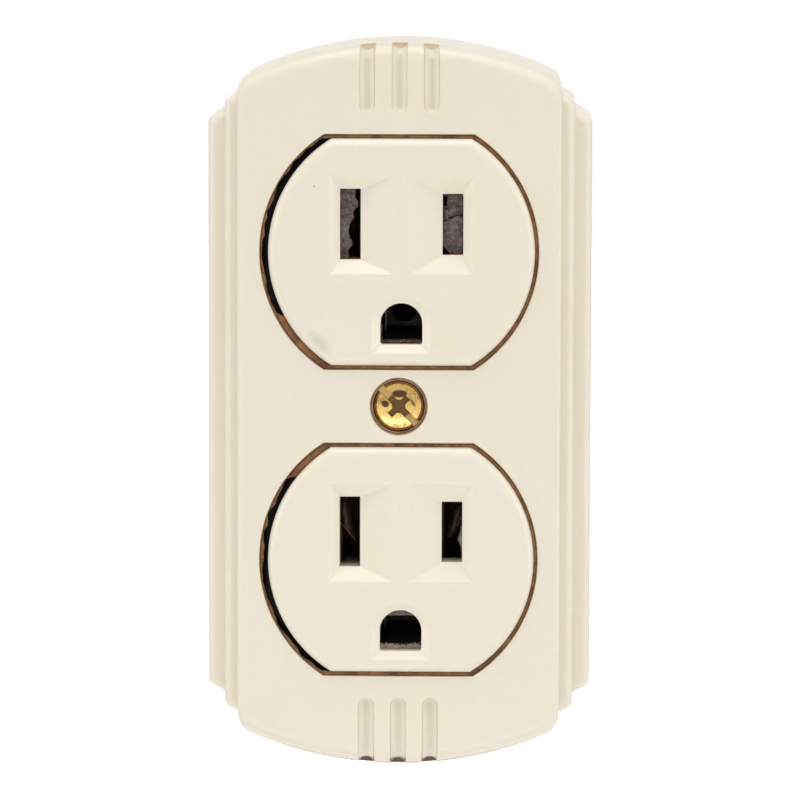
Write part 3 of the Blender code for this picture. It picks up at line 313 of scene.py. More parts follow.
class OutletFaces(bpy.types.PropertyGroup):
    """Sizes of the two receptacle faces."""

    radius: length("Face radius", "Radius of the round sides", 0.0168)
    half_height: length("Face half height", "From a face's middle to its flat end", 0.0143)
    rim: length("Face rim", "Rounding of the face's front edge", 0.0012)
    gap: length("Gap", "Gap between a face's round sides and its opening", 0.0007)
    flat_gap: length("Flat gap", "Gap at a face's flat ends", 0.00045)
    slot_width: length("Slot width", "Width of a blade slot", 0.0026)
    neutral_height: length("Neutral slot", "Height of the wide slot", 0.0089)
    hot_height: length("Hot slot", "Height of the narrow slot", 0.0077)
    lead_in: length("Lead-in depth", "Depth of the slots' lead-ins", 0.0014)
    lead_in_half_height: length("Lead-in half height", "Half the lead-in's height", 0.00615)
    lead_in_run: length("Lead-in run", "From a slot to its lead-in's outer edge", 0.00125)
    lead_in_ridge: length("Ridge", "Flat ridge between two lead-ins", 0.0021)
    ground_width: length("Ground hole width", "Width of the ground hole", 0.0053)
    ground_height: length("Ground hole height", "Height of the ground hole", 0.0052)
    border: length("Border", "Width of the shallow border round a lead-in", 0.0010)
    ground_lead_in: length("Ground lead-in", "Width of the ground hole's lead-in", 0.0010)
    ground_lead_in_depth: length("Ground lead-in depth", "Depth of that lead-in", 0.0008)


class OutletScrew(bpy.types.PropertyGroup):
    """Sizes of the cover screw."""

    head_radius: length("Head radius", "Radius of the screw's head", 0.00322)
    head: length("Head height", "Height of the domed head", 0.0014)
    rim: length("Rim", "Height of the head's straight rim", 0.0005)
    shank: length("Shank radius", "Radius of the shank", 0.0016)
    reach: length("Length", "Length under the head", 0.0130)
    thread_pitch: length("Thread pitch", "From one thread to the next", 0.0008)
    slot: length("Slot", "Width of the driving slot", 0.0009)
    slot_floor: length("Slot floor", "From the seat to the slot's floor", 0.00045)
    cross: length("Cross", "Half length of the cross recess", 0.0016)
    cross_width: length("Cross width", "Width of the cross recess's arms", 0.0008)
    cross_floor: length("Cross floor", "From the seat to the cross recess's floor", 0.0002)
    core: length("Core", "Radius of the round middle of the recess", 0.00085)


class OutletFinish(bpy.types.PropertyGroup):
    """Colours and fineness."""

    case: shade("Case", "Moulded ivory plastic of the case", "#e8e0cf")
    faces: shade("Faces", "Moulded ivory plastic of the faces", "#eae2d1")
    # Brown dirt in the gaps, partly painted shade
    gap_dirt: shade("Dirt in the gaps", "Brown dirt between face and case", "#94683c")
    upper_walls: shade("Upper slot walls", "Stained brown", "#b98556")
    lower_walls: shade("Lower slot walls", "Dusty grey", "#d9cdb9")
    # Brown dirt and painted shade at the grooves' bottom ends
    groove_dirt_and_shade: shade("Dirt in the grooves", "Brown dirt at the grooves' ends", "#6b4a3a")
    screw_brass: shade("Screw brass", "Brass of the cover screw", "#cfae6c")
    arc_steps: IntProperty(name="Arc steps", description="Fineness of the arched ends",
                           default=30, min=4, max=80)
    turn_steps: IntProperty(name="Turn steps", description="Fineness of turned pieces",
                            default=64, min=12, max=128)


class OutletStudio(bpy.types.PropertyGroup):
    """Camera and light."""

    distance: length("Distance", "From the camera to the front panel", 0.620)
    azimuth: FloatProperty(name="Azimuth", description="Camera's turn to the right",
                           default=math.radians(1.0), subtype="ANGLE")
    elevation: FloatProperty(name="Elevation", description="Camera's height angle",
                             default=math.radians(5.3), subtype="ANGLE")
    roll: FloatProperty(name="Roll", description="Camera's tilt",
                        default=math.radians(0.15), subtype="ANGLE")
    frame_width: length("Frame width", "Width of the picture at the panel", 0.10076)
    floor: shade("Floor", "Pale painted floor", "#f4f4f2")


def place(x, depth, z):
    """The point at x, a depth in front of the wall, and height z."""
    return Vector((x, -depth, z))


def arc(centre, radius, start, end, steps):
    """Points on an arc from one angle to another, both ends included."""
    turns = [start + (end - start) * step / steps for step in range(steps + 1)]
    return [(centre[0] + radius * math.cos(turn), centre[1] + radius * math.sin(turn))
            for turn in turns]


def quarter_turn(steps):
    """Angles from nothing to a quarter turn, both ends included."""
    return [math.pi / 2 * step / steps for step in range(steps + 1)]


def circle(radius):
    """Points round a circle about the middle."""
    last = CIRCLE_SIDES - 1
    return arc((0, 0), radius, 0, math.tau * last / CIRCLE_SIDES, last)


def shifted(points, x, z):
    """Points moved sideways and up."""
    return [(px + x, pz + z) for px, pz in points]


def arched_outline(half_width, crown, radius, corner, arc_steps, corner_steps):
    """An upright slab's outline: straight sides, arched ends and rounded corners."""
    middle = crown - radius
    corner_x = half_width - corner
    corner_z = middle + math.sqrt((radius - corner) ** 2 - corner_x ** 2)
    lean = math.atan2(corner_z - middle, corner_x)
    quarter = arc((corner_x, corner_z), corner, 0, lean, corner_steps)
    quarter += arc((0, middle), radius, lean, math.pi / 2, arc_steps)[1:]
    upper = quarter + [(-x, z) for x, z in reversed(quarter[:-1])]
    return upper + [(-x, -z) for x, z in upper]


def rounded_rectangle(left, right, bottom, top, corner, steps=4):
    """A rectangle with round corners, from its right side counter-clockwise."""
    points = []
    corners = ((right, top, 1, 1), (left, top, -1, 1), (left, bottom, -1, -1),
               (right, bottom, 1, -1))
    for quadrant, (x, z, side, end) in enumerate(corners):
        start = quadrant * math.pi / 2
        points += arc((x - side * corner, z - end * corner), corner, start,
                      start + math.pi / 2, steps)
    return points


def double_d(radius, half_height, steps=48):
    """A circle cut off flat at top and bottom."""
    lean = math.asin(half_height / radius)
    right = arc((0, 0), radius, -lean, lean, steps)
    return right + [(-x, -z) for x, z in right]


def ground_outline(width, height, corner, steps=24):
    """A hole with a round top and a flat foot with small corners."""
    half = width / 2
    foot = -height / 2
    return (arc((0, height / 2 - half), half, 0, math.pi, steps)
            + arc((corner - half, foot + corner), corner, math.pi, math.pi * 1.5, 3)
            + arc((half - corner, foot + corner), corner, -math.pi / 2, 0, 3))


def new_object(name, data):
    """An object round some data, put in the scene."""
    thing = bpy.data.objects.new(name, data)
    bpy.context.scene.collection.objects.link(thing)
    return thing


def add_mesh(name, shape, finish=None):
    """Turn a bmesh into an object, with its faces pointing out and smooth."""
    bmesh.ops.recalc_face_normals(shape, faces=shape.faces)
    data = bpy.data.meshes.new(name)
    shape.to_mesh(data)
    shape.free()
    data.shade_smooth()
    if finish:
        data.materials.append(finish)
    return new_object(name, data)


def loft(name, rings, finish=None, endless=False):
    """A closed skin through rings of points, with a cap at each end or joined end to end."""
    shape = bmesh.new()
    loops = [[shape.verts.new(point) for point in ring] for ring in rings]
    for lower, upper in zip(loops, loops[1:] + loops[:1] if endless else loops[1:]):
        for index, corner in enumerate(lower):
            after = (index + 1) % len(lower)
            shape.faces.new((corner, lower[after], upper[after], upper[index]))
    if not endless:
        shape.faces.new(loops[0])
        shape.faces.new(loops[-1])
    return add_mesh(name, shape, finish)


def layered(name, rings, finish=None):
    """A closed skin through outlines, each at its own depth."""
    return loft(name, [[place(x, depth, z) for x, z in points] for depth, points in rings],
                finish)


def rod(name, radius, start, end, finish=None, sides=32):
    """A cylinder between two points."""
    shape = bmesh.new()
    run = end - start
    bmesh.ops.create_cone(shape, cap_ends=True, segments=sides, radius1=radius,
                          radius2=radius, depth=run.length)
    turn = run.to_track_quat("Z", "Y").to_matrix()
    bmesh.ops.rotate(shape, verts=shape.verts, cent=(0, 0, 0), matrix=turn)
    bmesh.ops.translate(shape, verts=shape.verts, vec=(start + end) / 2)
    return add_mesh(name, shape, finish)


def block(name, left, right, back, front, bottom, top, finish=None):
    """A block given by its sides, its depths and its heights."""
    return layered(name, [(depth, [(right, bottom), (right, top), (left, top), (left, bottom)])
                          for depth in (back, front)], finish)


def combine(body, operation, *tools):
    """Add tools to a body or cut them away; settle() carries it out."""
    for tool in tools:
        step = body.modifiers.new(tool.name, "BOOLEAN")
        step.operation = operation
        step.solver = "EXACT"
        step.material_mode = "TRANSFER"
        step.object = tool


def settle(body):
    """Carry out a body's modifiers for good and remove the tools."""
    bpy.context.view_layer.update()
    graph = bpy.context.evaluated_depsgraph_get()
    data = bpy.data.meshes.new_from_object(body.evaluated_get(graph),
                                           preserve_all_data_layers=True, depsgraph=graph)
    tools = [step.object for step in body.modifiers if step.type == "BOOLEAN"]
    body.modifiers.clear()
    old = body.data
    body.data = data
    bpy.data.meshes.remove(old)
    data.name = body.name
    for tool in tools:
        bpy.data.objects.remove(tool, do_unlink=True)
    return body


def smooth_edges(body):
    """Shade curved faces smooth and keep flat faces flat."""
    body.data.shade_smooth()
    body.data.set_sharp_from_angle(angle=SHARP_ANGLE)
    weighting = body.modifiers.new("flat faces stay flat", "WEIGHTED_NORMAL")
    weighting.keep_sharp = True
    weighting.weight = 80
    return body


def add_node(tree, kind, inputs=None, **settings):
    """Add a shader node with its settings. An input takes a value, a socket or a node, and
    a node stands for its first output that is in use."""
    made = tree.nodes.new(f"ShaderNode{kind}")
    for name, value in settings.items():
        setattr(made, name, value)
    for name, value in (inputs or {}).items():
        entry = next(slot for slot in made.inputs
                     if slot.enabled and name in (slot.identifier, slot.name))
        if isinstance(value, bpy.types.Node):
            value = next(slot for slot in value.outputs if slot.enabled)
        if isinstance(value, bpy.types.NodeSocket):
            tree.links.new(value, entry)
        else:
            entry.default_value = value
    return made


def new_material(name):
    """A new material, its emptied node tree and the object coordinates."""
    material = bpy.data.materials.new(name)
    material.use_nodes = True
    material.node_tree.nodes.clear()
    spots = add_node(material.node_tree, "TexCoord").outputs["Object"]
    return material, material.node_tree, spots


def per_metre(size_mm):
    """The scale of a pattern whose repeat is a size in millimetres."""
    return 1000 / size_mm


def oval_mark(tree, spots, place, turn, half_size, strength, solid=0.0):
    """How much of an oval mark is at a spot, fading out from its solid part to its edge."""
    turned = add_node(tree, "Mapping", {"Vector": spots, "Location": place,
                                        "Rotation": (0, turn, 0),
                                        "Scale": (half_size[0], 1, half_size[1])},
                      vector_type="TEXTURE")
    level = add_node(tree, "VectorMath", {"Vector": turned, "Vector_001": (1, 0, 1)},
                     operation="MULTIPLY")
    away = add_node(tree, "VectorMath", {"Vector": level}, operation="LENGTH")
    return add_node(tree, "MapRange", {"Value": away, "From Min": solid, "To Min": strength,
                                       "To Max": 0.0})


def aged_ivory(tree, spots, colour):
    """The colour of old ivory plastic: cloudy yellowed patches some centimetres wide, and
    faint brown specks of about a millimetre."""
    clouds = add_node(tree, "TexNoise", {"Vector": spots, "Scale": per_metre(22), "Detail": 2.0})
    share = add_node(tree, "MapRange", {"Value": clouds, "From Min": 0.35, "From Max": 0.65,
                                        "To Min": 0.0, "To Max": 0.5})
    yellowed = [part * fade for part, fade in zip(colour, YELLOWING)] + [1]
    body = add_node(tree, "Mix", {"Factor": share, "A": colour, "B": yellowed},
                    data_type="RGBA")
    specks = add_node(tree, "TexNoise", {"Vector": spots, "Scale": per_metre(0.9),
                                         "Detail": 5.0, "Roughness": 0.7})
    share = add_node(tree, "MapRange", {"Value": specks, "From Min": 0.3, "From Max": 0.7,
                                        "To Min": 0.0, "To Max": 0.05})
    return add_node(tree, "Mix", {"Factor": share, "A": body, "B": linear("#c3b59f")},
                    data_type="RGBA")


def moulded_plastic(tree, spots, colour, roughness):
    """Moulded urea plastic of a colour, up to the material's output. The eye gets a satin
    gloss that varies a little, edges that let light through and a fine grain."""
    haze = add_node(tree, "TexNoise", {"Vector": spots, "Scale": per_metre(6), "Detail": 4.0})
    rough = add_node(tree, "MapRange", {"Value": haze, "From Min": 0.3, "From Max": 0.7,
                                        "To Min": roughness - 0.04, "To Max": roughness + 0.06})
    # The real moulding grain of about 0.05 mm is drawn at 0.3 mm so that it shows
    fine = add_node(tree, "TexNoise", {"Vector": spots, "Scale": per_metre(0.3), "Detail": 3.0})
    bump = add_node(tree, "Bump", {"Height": fine, "Distance": 0.000004})
    shader = add_node(tree, "BsdfPrincipled", {
        "Base Color": colour, "Roughness": rough, "Normal": bump, "IOR": 1.5,
        "Subsurface Weight": 0.12, "Subsurface Radius": (1.0, 0.62, 0.3),
        "Subsurface Scale": 0.0009})
    add_node(tree, "OutputMaterial", {"Surface": shader})


def case_plastic(finish):
    """Urea plastic, injection moulded and aged ivory, for the case. The eye gets a warm pale
    body, and a thin brown line of painted shade where the bottom edge turns under."""
    material, tree, spots = new_material("moulded urea plastic, case")
    body = aged_ivory(tree, spots, finish.case)
    # Painted shade: a thin brown line where the bottom edge turns under, in a band behind the
    # front and low down
    axes = add_node(tree, "SeparateXYZ", {"Vector": spots}).outputs
    turn = -COVER_FRONT + BOTTOM_LINE_DEPTH
    away = add_node(tree, "Math", {"Value": axes["Y"], "Value_001": turn}, operation="SUBTRACT")
    away = add_node(tree, "Math", {"Value": away}, operation="ABSOLUTE")
    line = add_node(tree, "MapRange", {"Value": away, "From Min": BOTTOM_LINE_FADE[0],
                                       "From Max": BOTTOM_LINE_FADE[1], "To Min": 0.85,
                                       "To Max": 0.0})
    low = add_node(tree, "MapRange", {"Value": axes["Z"], "From Min": BOTTOM_LINE_HEIGHTS[0],
                                      "From Max": BOTTOM_LINE_HEIGHTS[1]})
    share = add_node(tree, "Math", {"Value": line, "Value_001": low}, operation="MULTIPLY")
    body = add_node(tree, "Mix", {"Factor": share, "A": body, "B": linear("#a87f52")},
                    data_type="RGBA")
    moulded_plastic(tree, spots, body, 0.40)
    return material


def base_plastic(finish):
    """Urea plastic, injection moulded, for the base: the same body as the cover's, a little
    duller from handling."""
    material, tree, spots = new_material("moulded urea plastic, base")
    moulded_plastic(tree, spots, aged_ivory(tree, spots, finish.case), 0.44)
    return material


def face_plastic(label, walls, finish):
    """Urea plastic, injection moulded, for the faces. The eye gets a slightly paler body, with
    a grey smudge and one dark speck on the upper face, and slot walls stained by use."""
    material, tree, spots = new_material(f"moulded urea plastic, {label} face")
    body = aged_ivory(tree, spots, finish.faces)
    for mark, code in ((SMUDGE, "#958c80"), (SPECK, "#4a4038")):
        body = add_node(tree, "Mix", {"Factor": oval_mark(tree, spots, *mark), "A": body,
                                      "B": linear(code)}, data_type="RGBA")
    depth = add_node(tree, "SeparateXYZ", {"Vector": spots}).outputs["Y"]
    deep = add_node(tree, "MapRange", {"Value": depth, "From Min": -SLOT_MOUTH,
                                       "From Max": -SLOT_MOUTH + SLOT_STAIN_FADE,
                                       "To Max": 0.85})
    body = add_node(tree, "Mix", {"Factor": deep, "A": body, "B": walls}, data_type="RGBA")
    moulded_plastic(tree, spots, body, 0.36)
    return material


def stained_and_shaded_plastic(name, deep, finish):
    """Urea plastic of the walls of an opening, stained by settled dirt and with painted shade.
    The eye gets a thin patchy brown outline of dirt and painted shade that turns to another,
    darker colour of painted shade deeper down."""
    material, tree, spots = new_material(f"moulded urea plastic, stained and shaded {name}")
    body = aged_ivory(tree, spots, finish.case)
    depth = add_node(tree, "SeparateXYZ", {"Vector": spots}).outputs["Y"]
    # Dirt and painted shade: a patchy brown outline just behind the front
    reach = add_node(tree, "MapRange", {"Value": depth,
                                        "From Min": -COVER_FRONT + STAIN_AND_SHADE_DEPTHS[0],
                                        "From Max": -COVER_FRONT + STAIN_AND_SHADE_DEPTHS[1]})
    patches = add_node(tree, "TexNoise", {"Vector": spots, "Scale": per_metre(3),
                                          "Detail": 4.0})
    share = add_node(tree, "MapRange", {"Value": patches, "From Min": 0.3, "From Max": 0.6,
                                        "To Min": 0.7, "To Max": 1.0})
    share = add_node(tree, "Math", {"Value": reach, "Value_001": share}, operation="MULTIPLY")
    body = add_node(tree, "Mix", {"Factor": share, "A": body, "B": finish.gap_dirt},
                    data_type="RGBA")
    # Painted shade: the darker colour deeper down
    share = add_node(tree, "MapRange", {"Value": depth,
                                        "From Min": -COVER_FRONT + DEEP_SHADE_DEPTHS[0],
                                        "From Max": -COVER_FRONT + DEEP_SHADE_DEPTHS[1]})
    body = add_node(tree, "Mix", {"Factor": share, "A": body, "B": linear(deep)},
                    data_type="RGBA")
    moulded_plastic(tree, spots, body, 0.6)
    return material


def groove_plastic(case, finish):
    """Urea plastic of the end grooves. The eye gets clean grooves on the front that end brown
    with dirt and painted shade on the bottom end wall, and in small orange spots of painted shade
    on the top one."""
    material, tree, spots = new_material("moulded urea plastic, grooves")
    body = aged_ivory(tree, spots, finish.case)
    height = add_node(tree, "SeparateXYZ", {"Vector": spots}).outputs["Z"]
    # Dirt and painted shade: brown on the grooves' bottom end walls
    low = add_node(tree, "MapRange", {"Value": height,
                                      "From Min": -case.crown + GROOVE_DIRT_AND_SHADE_REACH[0],
                                      "From Max": -case.crown + GROOVE_DIRT_AND_SHADE_REACH[1]})
    body = add_node(tree, "Mix", {"Factor": low, "A": body, "B": finish.groove_dirt_and_shade},
                    data_type="RGBA")
    # Painted shade: small orange spots where the grooves end at the top
    high = add_node(tree, "MapRange", {"Value": height,
                                       "From Min": case.crown - GROOVE_SHADE_SPOT_REACH[0],
                                       "From Max": case.crown - GROOVE_SHADE_SPOT_REACH[1],
                                       "To Max": 0.35})
    body = add_node(tree, "Mix", {"Factor": high, "A": body, "B": linear("#dfa65e")},
                    data_type="RGBA")
    moulded_plastic(tree, spots, body, 0.42)
    return material


def settled_dirt(name, light, dark):
    """Dust and grease settled in a gap. The eye gets a matt colour that is streaked darker."""
    material, tree, spots = new_material(name)
    streaks = add_node(tree, "TexNoise", {"Vector": spots, "Scale": per_metre(1.4),
                                          "Detail": 5.0, "Roughness": 0.65})
    share = add_node(tree, "MapRange", {"Value": streaks, "From Min": 0.35, "From Max": 0.7})
    body = add_node(tree, "Mix", {"Factor": share, "A": light, "B": linear(dark)},
                    data_type="RGBA")
    bump = add_node(tree, "Bump", {"Height": streaks, "Distance": 0.00003})
    shader = add_node(tree, "BsdfPrincipled", {"Base Color": body, "Roughness": 0.75,
                                               "Normal": bump})
    add_node(tree, "OutputMaterial", {"Surface": shader})
    return material


def plated_metal(name, code, roughness):
    """A plated or bare metal, rolled or turned. The eye gets an uneven sheen with dull patches
    of about two millimetres."""
    material, tree, spots = new_material(name)
    colour = linear(code)
    dull = [part * 0.55 for part in colour[:3]] + [1]
    patches = add_node(tree, "TexNoise", {"Vector": spots, "Scale": per_metre(2.4),
                                          "Detail": 4.0})
    share = add_node(tree, "MapRange", {"Value": patches, "From Min": 0.35, "From Max": 0.7,
                                        "To Max": 0.5})
    body = add_node(tree, "Mix", {"Factor": share, "A": colour, "B": dull}, data_type="RGBA")
    haze = add_node(tree, "TexNoise", {"Vector": spots, "Scale": per_metre(1.2),
                                       "Detail": 4.0})
    rough = add_node(tree, "MapRange", {"Value": haze, "From Min": 0.3, "From Max": 0.7,
                                        "To Min": roughness - 0.06, "To Max": roughness + 0.12})
    # The real grain of about 0.05 mm is drawn at 0.4 mm so that it shows
    fine = add_node(tree, "TexNoise", {"Vector": spots, "Scale": per_metre(0.4), "Detail": 3.0})
    bump = add_node(tree, "Bump", {"Height": fine, "Distance": 0.000004})
    shader = add_node(tree, "BsdfPrincipled", {"Base Color": body, "Roughness": rough,
                                               "Metallic": 1.0, "Normal": bump})
    add_node(tree, "OutputMaterial", {"Surface": shader})
    return material


def pressed_phenolic():
    """Brown phenolic powder, pressed hot. The eye gets a nearly black, matt body with fine
    brown specks."""
    material, tree, spots = new_material("phenolic, hot pressed")
    specks = add_node(tree, "TexNoise", {"Vector": spots, "Scale": per_metre(0.35),
                                         "Detail": 4.0, "Roughness": 0.7})
    share = add_node(tree, "MapRange", {"Value": specks, "From Min": 0.55, "From Max": 0.75,
                                        "To Max": 0.5})
    body = add_node(tree, "Mix", {"Factor": share, "A": linear("#231b17"),
                                  "B": linear("#4a372c")}, data_type="RGBA")
    bump = add_node(tree, "Bump", {"Height": share, "Distance": 0.00001})
    shader = add_node(tree, "BsdfPrincipled", {"Base Color": body, "Roughness": 0.55,
                                               "Normal": bump})
    add_node(tree, "OutputMaterial", {"Surface": shader})
    return material


def oxide_crust():
    """Brass under a crust of oxide and dust. The eye gets lumpy grey with rust brown and pale
    mineral spots, and hardly any shine."""
    material, tree, spots = new_material("brass oxide, crusted")
    lumps = add_node(tree, "TexNoise", {"Vector": spots, "Scale": per_metre(0.8),
                                        "Detail": 6.0, "Roughness": 0.7})
    share = add_node(tree, "MapRange", {"Value": lumps, "From Min": 0.35, "From Max": 0.65})
    grey = add_node(tree, "Mix", {"Factor": share, "A": linear("#474142"),
                                  "B": linear("#7d7777")}, data_type="RGBA")
    stains = add_node(tree, "TexNoise", {"Vector": spots, "Scale": per_metre(1.9),
                                         "Detail": 3.0})
    share = add_node(tree, "MapRange", {"Value": stains, "From Min": 0.5, "From Max": 0.68,
                                        "To Max": 0.6})
    stained = add_node(tree, "Mix", {"Factor": share, "A": grey, "B": linear("#654537")},
                       data_type="RGBA")
    cells = add_node(tree, "TexVoronoi", {"Vector": spots, "Scale": per_metre(0.42)})
    share = add_node(tree, "MapRange", {"Value": cells, "From Min": 0.05, "From Max": 0.3,
                                        "To Min": 0.55, "To Max": 0.0})
    pale = add_node(tree, "Mix", {"Factor": share, "A": stained, "B": linear("#a7a19d")},
                    data_type="RGBA")
    bump = add_node(tree, "Bump", {"Height": lumps, "Distance": 0.0001})
    shader = add_node(tree, "BsdfPrincipled", {"Base Color": pale, "Roughness": 0.62,
                                               "Metallic": 0.15, "Normal": bump})
    add_node(tree, "OutputMaterial", {"Surface": shader})
    return material


def contact_bronze(name, dark, light, roughness):
    """Spring bronze, rolled and browned by age. The eye gets a dull brown metal with a faint
    grain along the strip."""
    material, tree, spots = new_material(name)
    along = add_node(tree, "Mapping", {"Vector": spots, "Scale": (1, 1, 0.2)})
    streaks = add_node(tree, "TexNoise", {"Vector": along, "Scale": per_metre(0.5),
                                          "Detail": 4.0})
    share = add_node(tree, "MapRange", {"Value": streaks, "From Min": 0.3, "From Max": 0.7})
    body = add_node(tree, "Mix", {"Factor": share, "A": linear(dark), "B": linear(light)},
                    data_type="RGBA")
    bump = add_node(tree, "Bump", {"Height": streaks, "Distance": 0.000006})
    shader = add_node(tree, "BsdfPrincipled", {"Base Color": body, "Roughness": roughness,
                                               "Metallic": 0.7, "Normal": bump})
    add_node(tree, "OutputMaterial", {"Surface": shader})
    return material


def screw_brass(finish):
    """Brass, turned and lacquered. The eye gets a golden dome with fine rings round the middle,
    patches of tarnish, dark painted reflections, and brown dirt and painted shade deep in the
    recess."""
    material, tree, spots = new_material("turned brass, lacquered")
    flat = add_node(tree, "VectorMath", {"Vector": spots, "Vector_001": (1, 0, 1)},
                    operation="MULTIPLY")
    away = add_node(tree, "VectorMath", {"Vector": flat}, operation="LENGTH")
    rings = add_node(tree, "TexNoise", {"W": away, "Scale": per_metre(0.12), "Detail": 2.0},
                     noise_dimensions="1D")
    patches = add_node(tree, "TexNoise", {"Vector": spots, "Scale": per_metre(1.1),
                                          "Detail": 5.0, "Roughness": 0.65})
    share = add_node(tree, "MapRange", {"Value": patches, "From Min": 0.5, "From Max": 0.66,
                                        "To Max": 0.8})
    golden = add_node(tree, "Mix", {"Factor": share, "A": finish.screw_brass,
                                    "B": linear("#7d5c2e")}, data_type="RGBA")
    depth = add_node(tree, "SeparateXYZ", {"Vector": spots}).outputs["Y"]
    # Painted reflections: dark marks fixed on the dome
    for mark in PAINTED_REFLECTIONS:
        golden = add_node(tree, "Mix", {"Factor": oval_mark(tree, spots, *mark), "A": golden,
                                        "B": linear("#3f2d28")}, data_type="RGBA")
    # Dirt and painted shade: browner near the seat, on the head's foot and the recess floors
    share = add_node(tree, "MapRange", {"Value": depth,
                                        "From Min": -SCREW_SEAT - RECESS_DIRT_AND_SHADE_HEIGHTS[0],
                                        "From Max": -SCREW_SEAT - RECESS_DIRT_AND_SHADE_HEIGHTS[1],
                                        "To Max": 0.9})
    body = add_node(tree, "Mix", {"Factor": share, "A": golden, "B": linear("#4a2f22")},
                    data_type="RGBA")
    rough = add_node(tree, "MapRange", {"Value": rings, "From Min": 0.3, "From Max": 0.7,
                                        "To Min": 0.12, "To Max": 0.24})
    bump = add_node(tree, "Bump", {"Height": rings, "Distance": 0.000004})
    shader = add_node(tree, "BsdfPrincipled", {"Base Color": body, "Roughness": rough,
                                               "Metallic": 1.0, "Normal": bump})
    add_node(tree, "OutputMaterial", {"Surface": shader})
    return material


def case_tiers(case):
    """The three tiers of the case, front to back."""
    panel = Tier(case.half_width, case.crown, COVER_FRONT, case.corner, case.side_fillet,
                 case.end_fillet)
    second = Tier(panel.half_width + case.second_step, panel.crown - case.second_drop,
                  panel.front - case.second_setback, case.tier_corner, case.tier_fillet,
                  case.tier_fillet)
    third = Tier(second.half_width + case.third_step, second.crown - case.third_drop,
                 second.front - case.third_setback, case.tier_corner, case.tier_fillet,
                 case.tier_fillet)
    return panel, second, third


def fillet_inset(behind, radius):
    """How far a filleted edge is drawn in, a distance behind its front."""
    if behind >= radius:
        return 0
    return radius - math.sqrt(max(radius ** 2 - (radius - behind) ** 2, 0))


def tier_outline(case, tier, depth, inset, filleted, steps):
    """A tier's outline at one depth, with its draft and its front fillets."""
    behind = tier.front - depth
    growth = case.draft * behind - inset
    side = fillet_inset(behind, tier.side_fillet) if filleted else 0
    end = fillet_inset(behind, tier.end_fillet) if filleted else 0
    return arched_outline(tier.half_width + growth - side, tier.crown + growth - end,
                          case.end_arc + growth - end, max(tier.corner - inset, FIT), steps,
                          CORNER_STEPS)


def tier_stack(name, case, back, fronts, finish, steps, inset=0.0, filleted=False):
    """All three tiers, each a slab, joined."""
    slabs = []
    for count, (tier, front) in enumerate(zip(case_tiers(case), fronts)):
        depths = [back, front]
        if filleted:
            depths = [back]
            for radius in (tier.end_fillet, tier.side_fillet):
                depths += [front - radius * (1 - math.cos(turn))
                           for turn in quarter_turn(FILLET_STEPS)]
            depths = sorted(set(round(depth, 7) for depth in depths))
        rings = [(depth, tier_outline(case, tier, depth, inset, filleted, steps))
                 for depth in depths]
        slabs.append(layered(f"{name}_{count}" if count else name, rings, finish))
    combine(slabs[0], "UNION", *slabs[1:])
    return settle(slabs[0])


def groove(name, case, x, end, finish):
    """A cutter for a groove with rounded lips, over the front edge and down the end wall."""
    radius, lip = case.groove_radius, case.groove_lip
    lift = radius - case.groove_depth
    edge = case.crown - case.end_arc + math.sqrt(case.end_arc ** 2 - x ** 2)
    fillet = case.end_fillet
    inner = (COVER_FRONT - fillet, edge - fillet)
    path = [(COVER_FRONT, case.groove_start + radius * (1 - math.cos(turn)), 0.0, math.sin(turn))
            for turn in quarter_turn(GROOVE_END_STEPS)[1:-1]]
    path.append((COVER_FRONT, case.groove_start + radius, 0.0, 1.0))
    path += [(inner[0] + fillet * math.cos(turn), inner[1] + fillet * math.sin(turn), turn, 1.0)
             for turn in quarter_turn(GROOVE_TURN_STEPS)]
    path.append((COVER_FRONT - fillet - GROOVE_RUN_OUT, edge, math.pi / 2, 1.0))
    reach = math.acos((lift - lip) / (radius + lip)) if lip < lift else math.pi / 2
    centre = (radius + lip) * math.sin(reach)
    low = math.pi / 2 - reach
    side = [(centre + lip, OVERRUN)]
    side += [(centre - lip * math.sin(turn), -lip + lip * math.cos(turn))
             for turn in (reach * step / GROOVE_LIP_STEPS
                          for step in range(GROOVE_LIP_STEPS + 1))]
    floor = [(radius * math.cos(turn), lift + radius * math.sin(turn))
             for turn in (-low - (math.pi - 2 * low) * step / GROOVE_FLOOR_STEPS
                          for step in range(GROOVE_FLOOR_STEPS + 1))]
    section = side + floor + [(-u, v) for u, v in reversed(side)]
    rings = []
    for depth, z, turn, width in path:
        rings.append([place(x + u * width,
                            depth + (lift + (v - lift) * width) * math.cos(turn),
                            end * (z + (lift + (v - lift) * width) * math.sin(turn)))
                      for u, v in section])
    return loft(name, rings, finish)


def opening(name, outline_at, edge, finish):
    """A cutter for an opening through the front with a rounded edge."""
    rings = [(COVER_FRONT - WALL - OVERRUN, outline_at(0.0))]
    for turn in quarter_turn(EDGE_STEPS):
        behind = edge * (1 - math.sin(turn)) * OVER_SHARE - edge * (OVER_SHARE - 1)
        rings.append((COVER_FRONT - behind, outline_at(edge * (1 - math.cos(turn)))))
    rings.append((COVER_FRONT + OVERRUN, outline_at(edge)))
    return layered(name, rings, finish)


def hang(piece, slot, *nodes):
    """Let a piece ride with the outlet and stand for its frame nodes; the slot it is given is not
    used.
    """
    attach(piece, "root")
    if nodes:
        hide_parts(*nodes)
    return piece


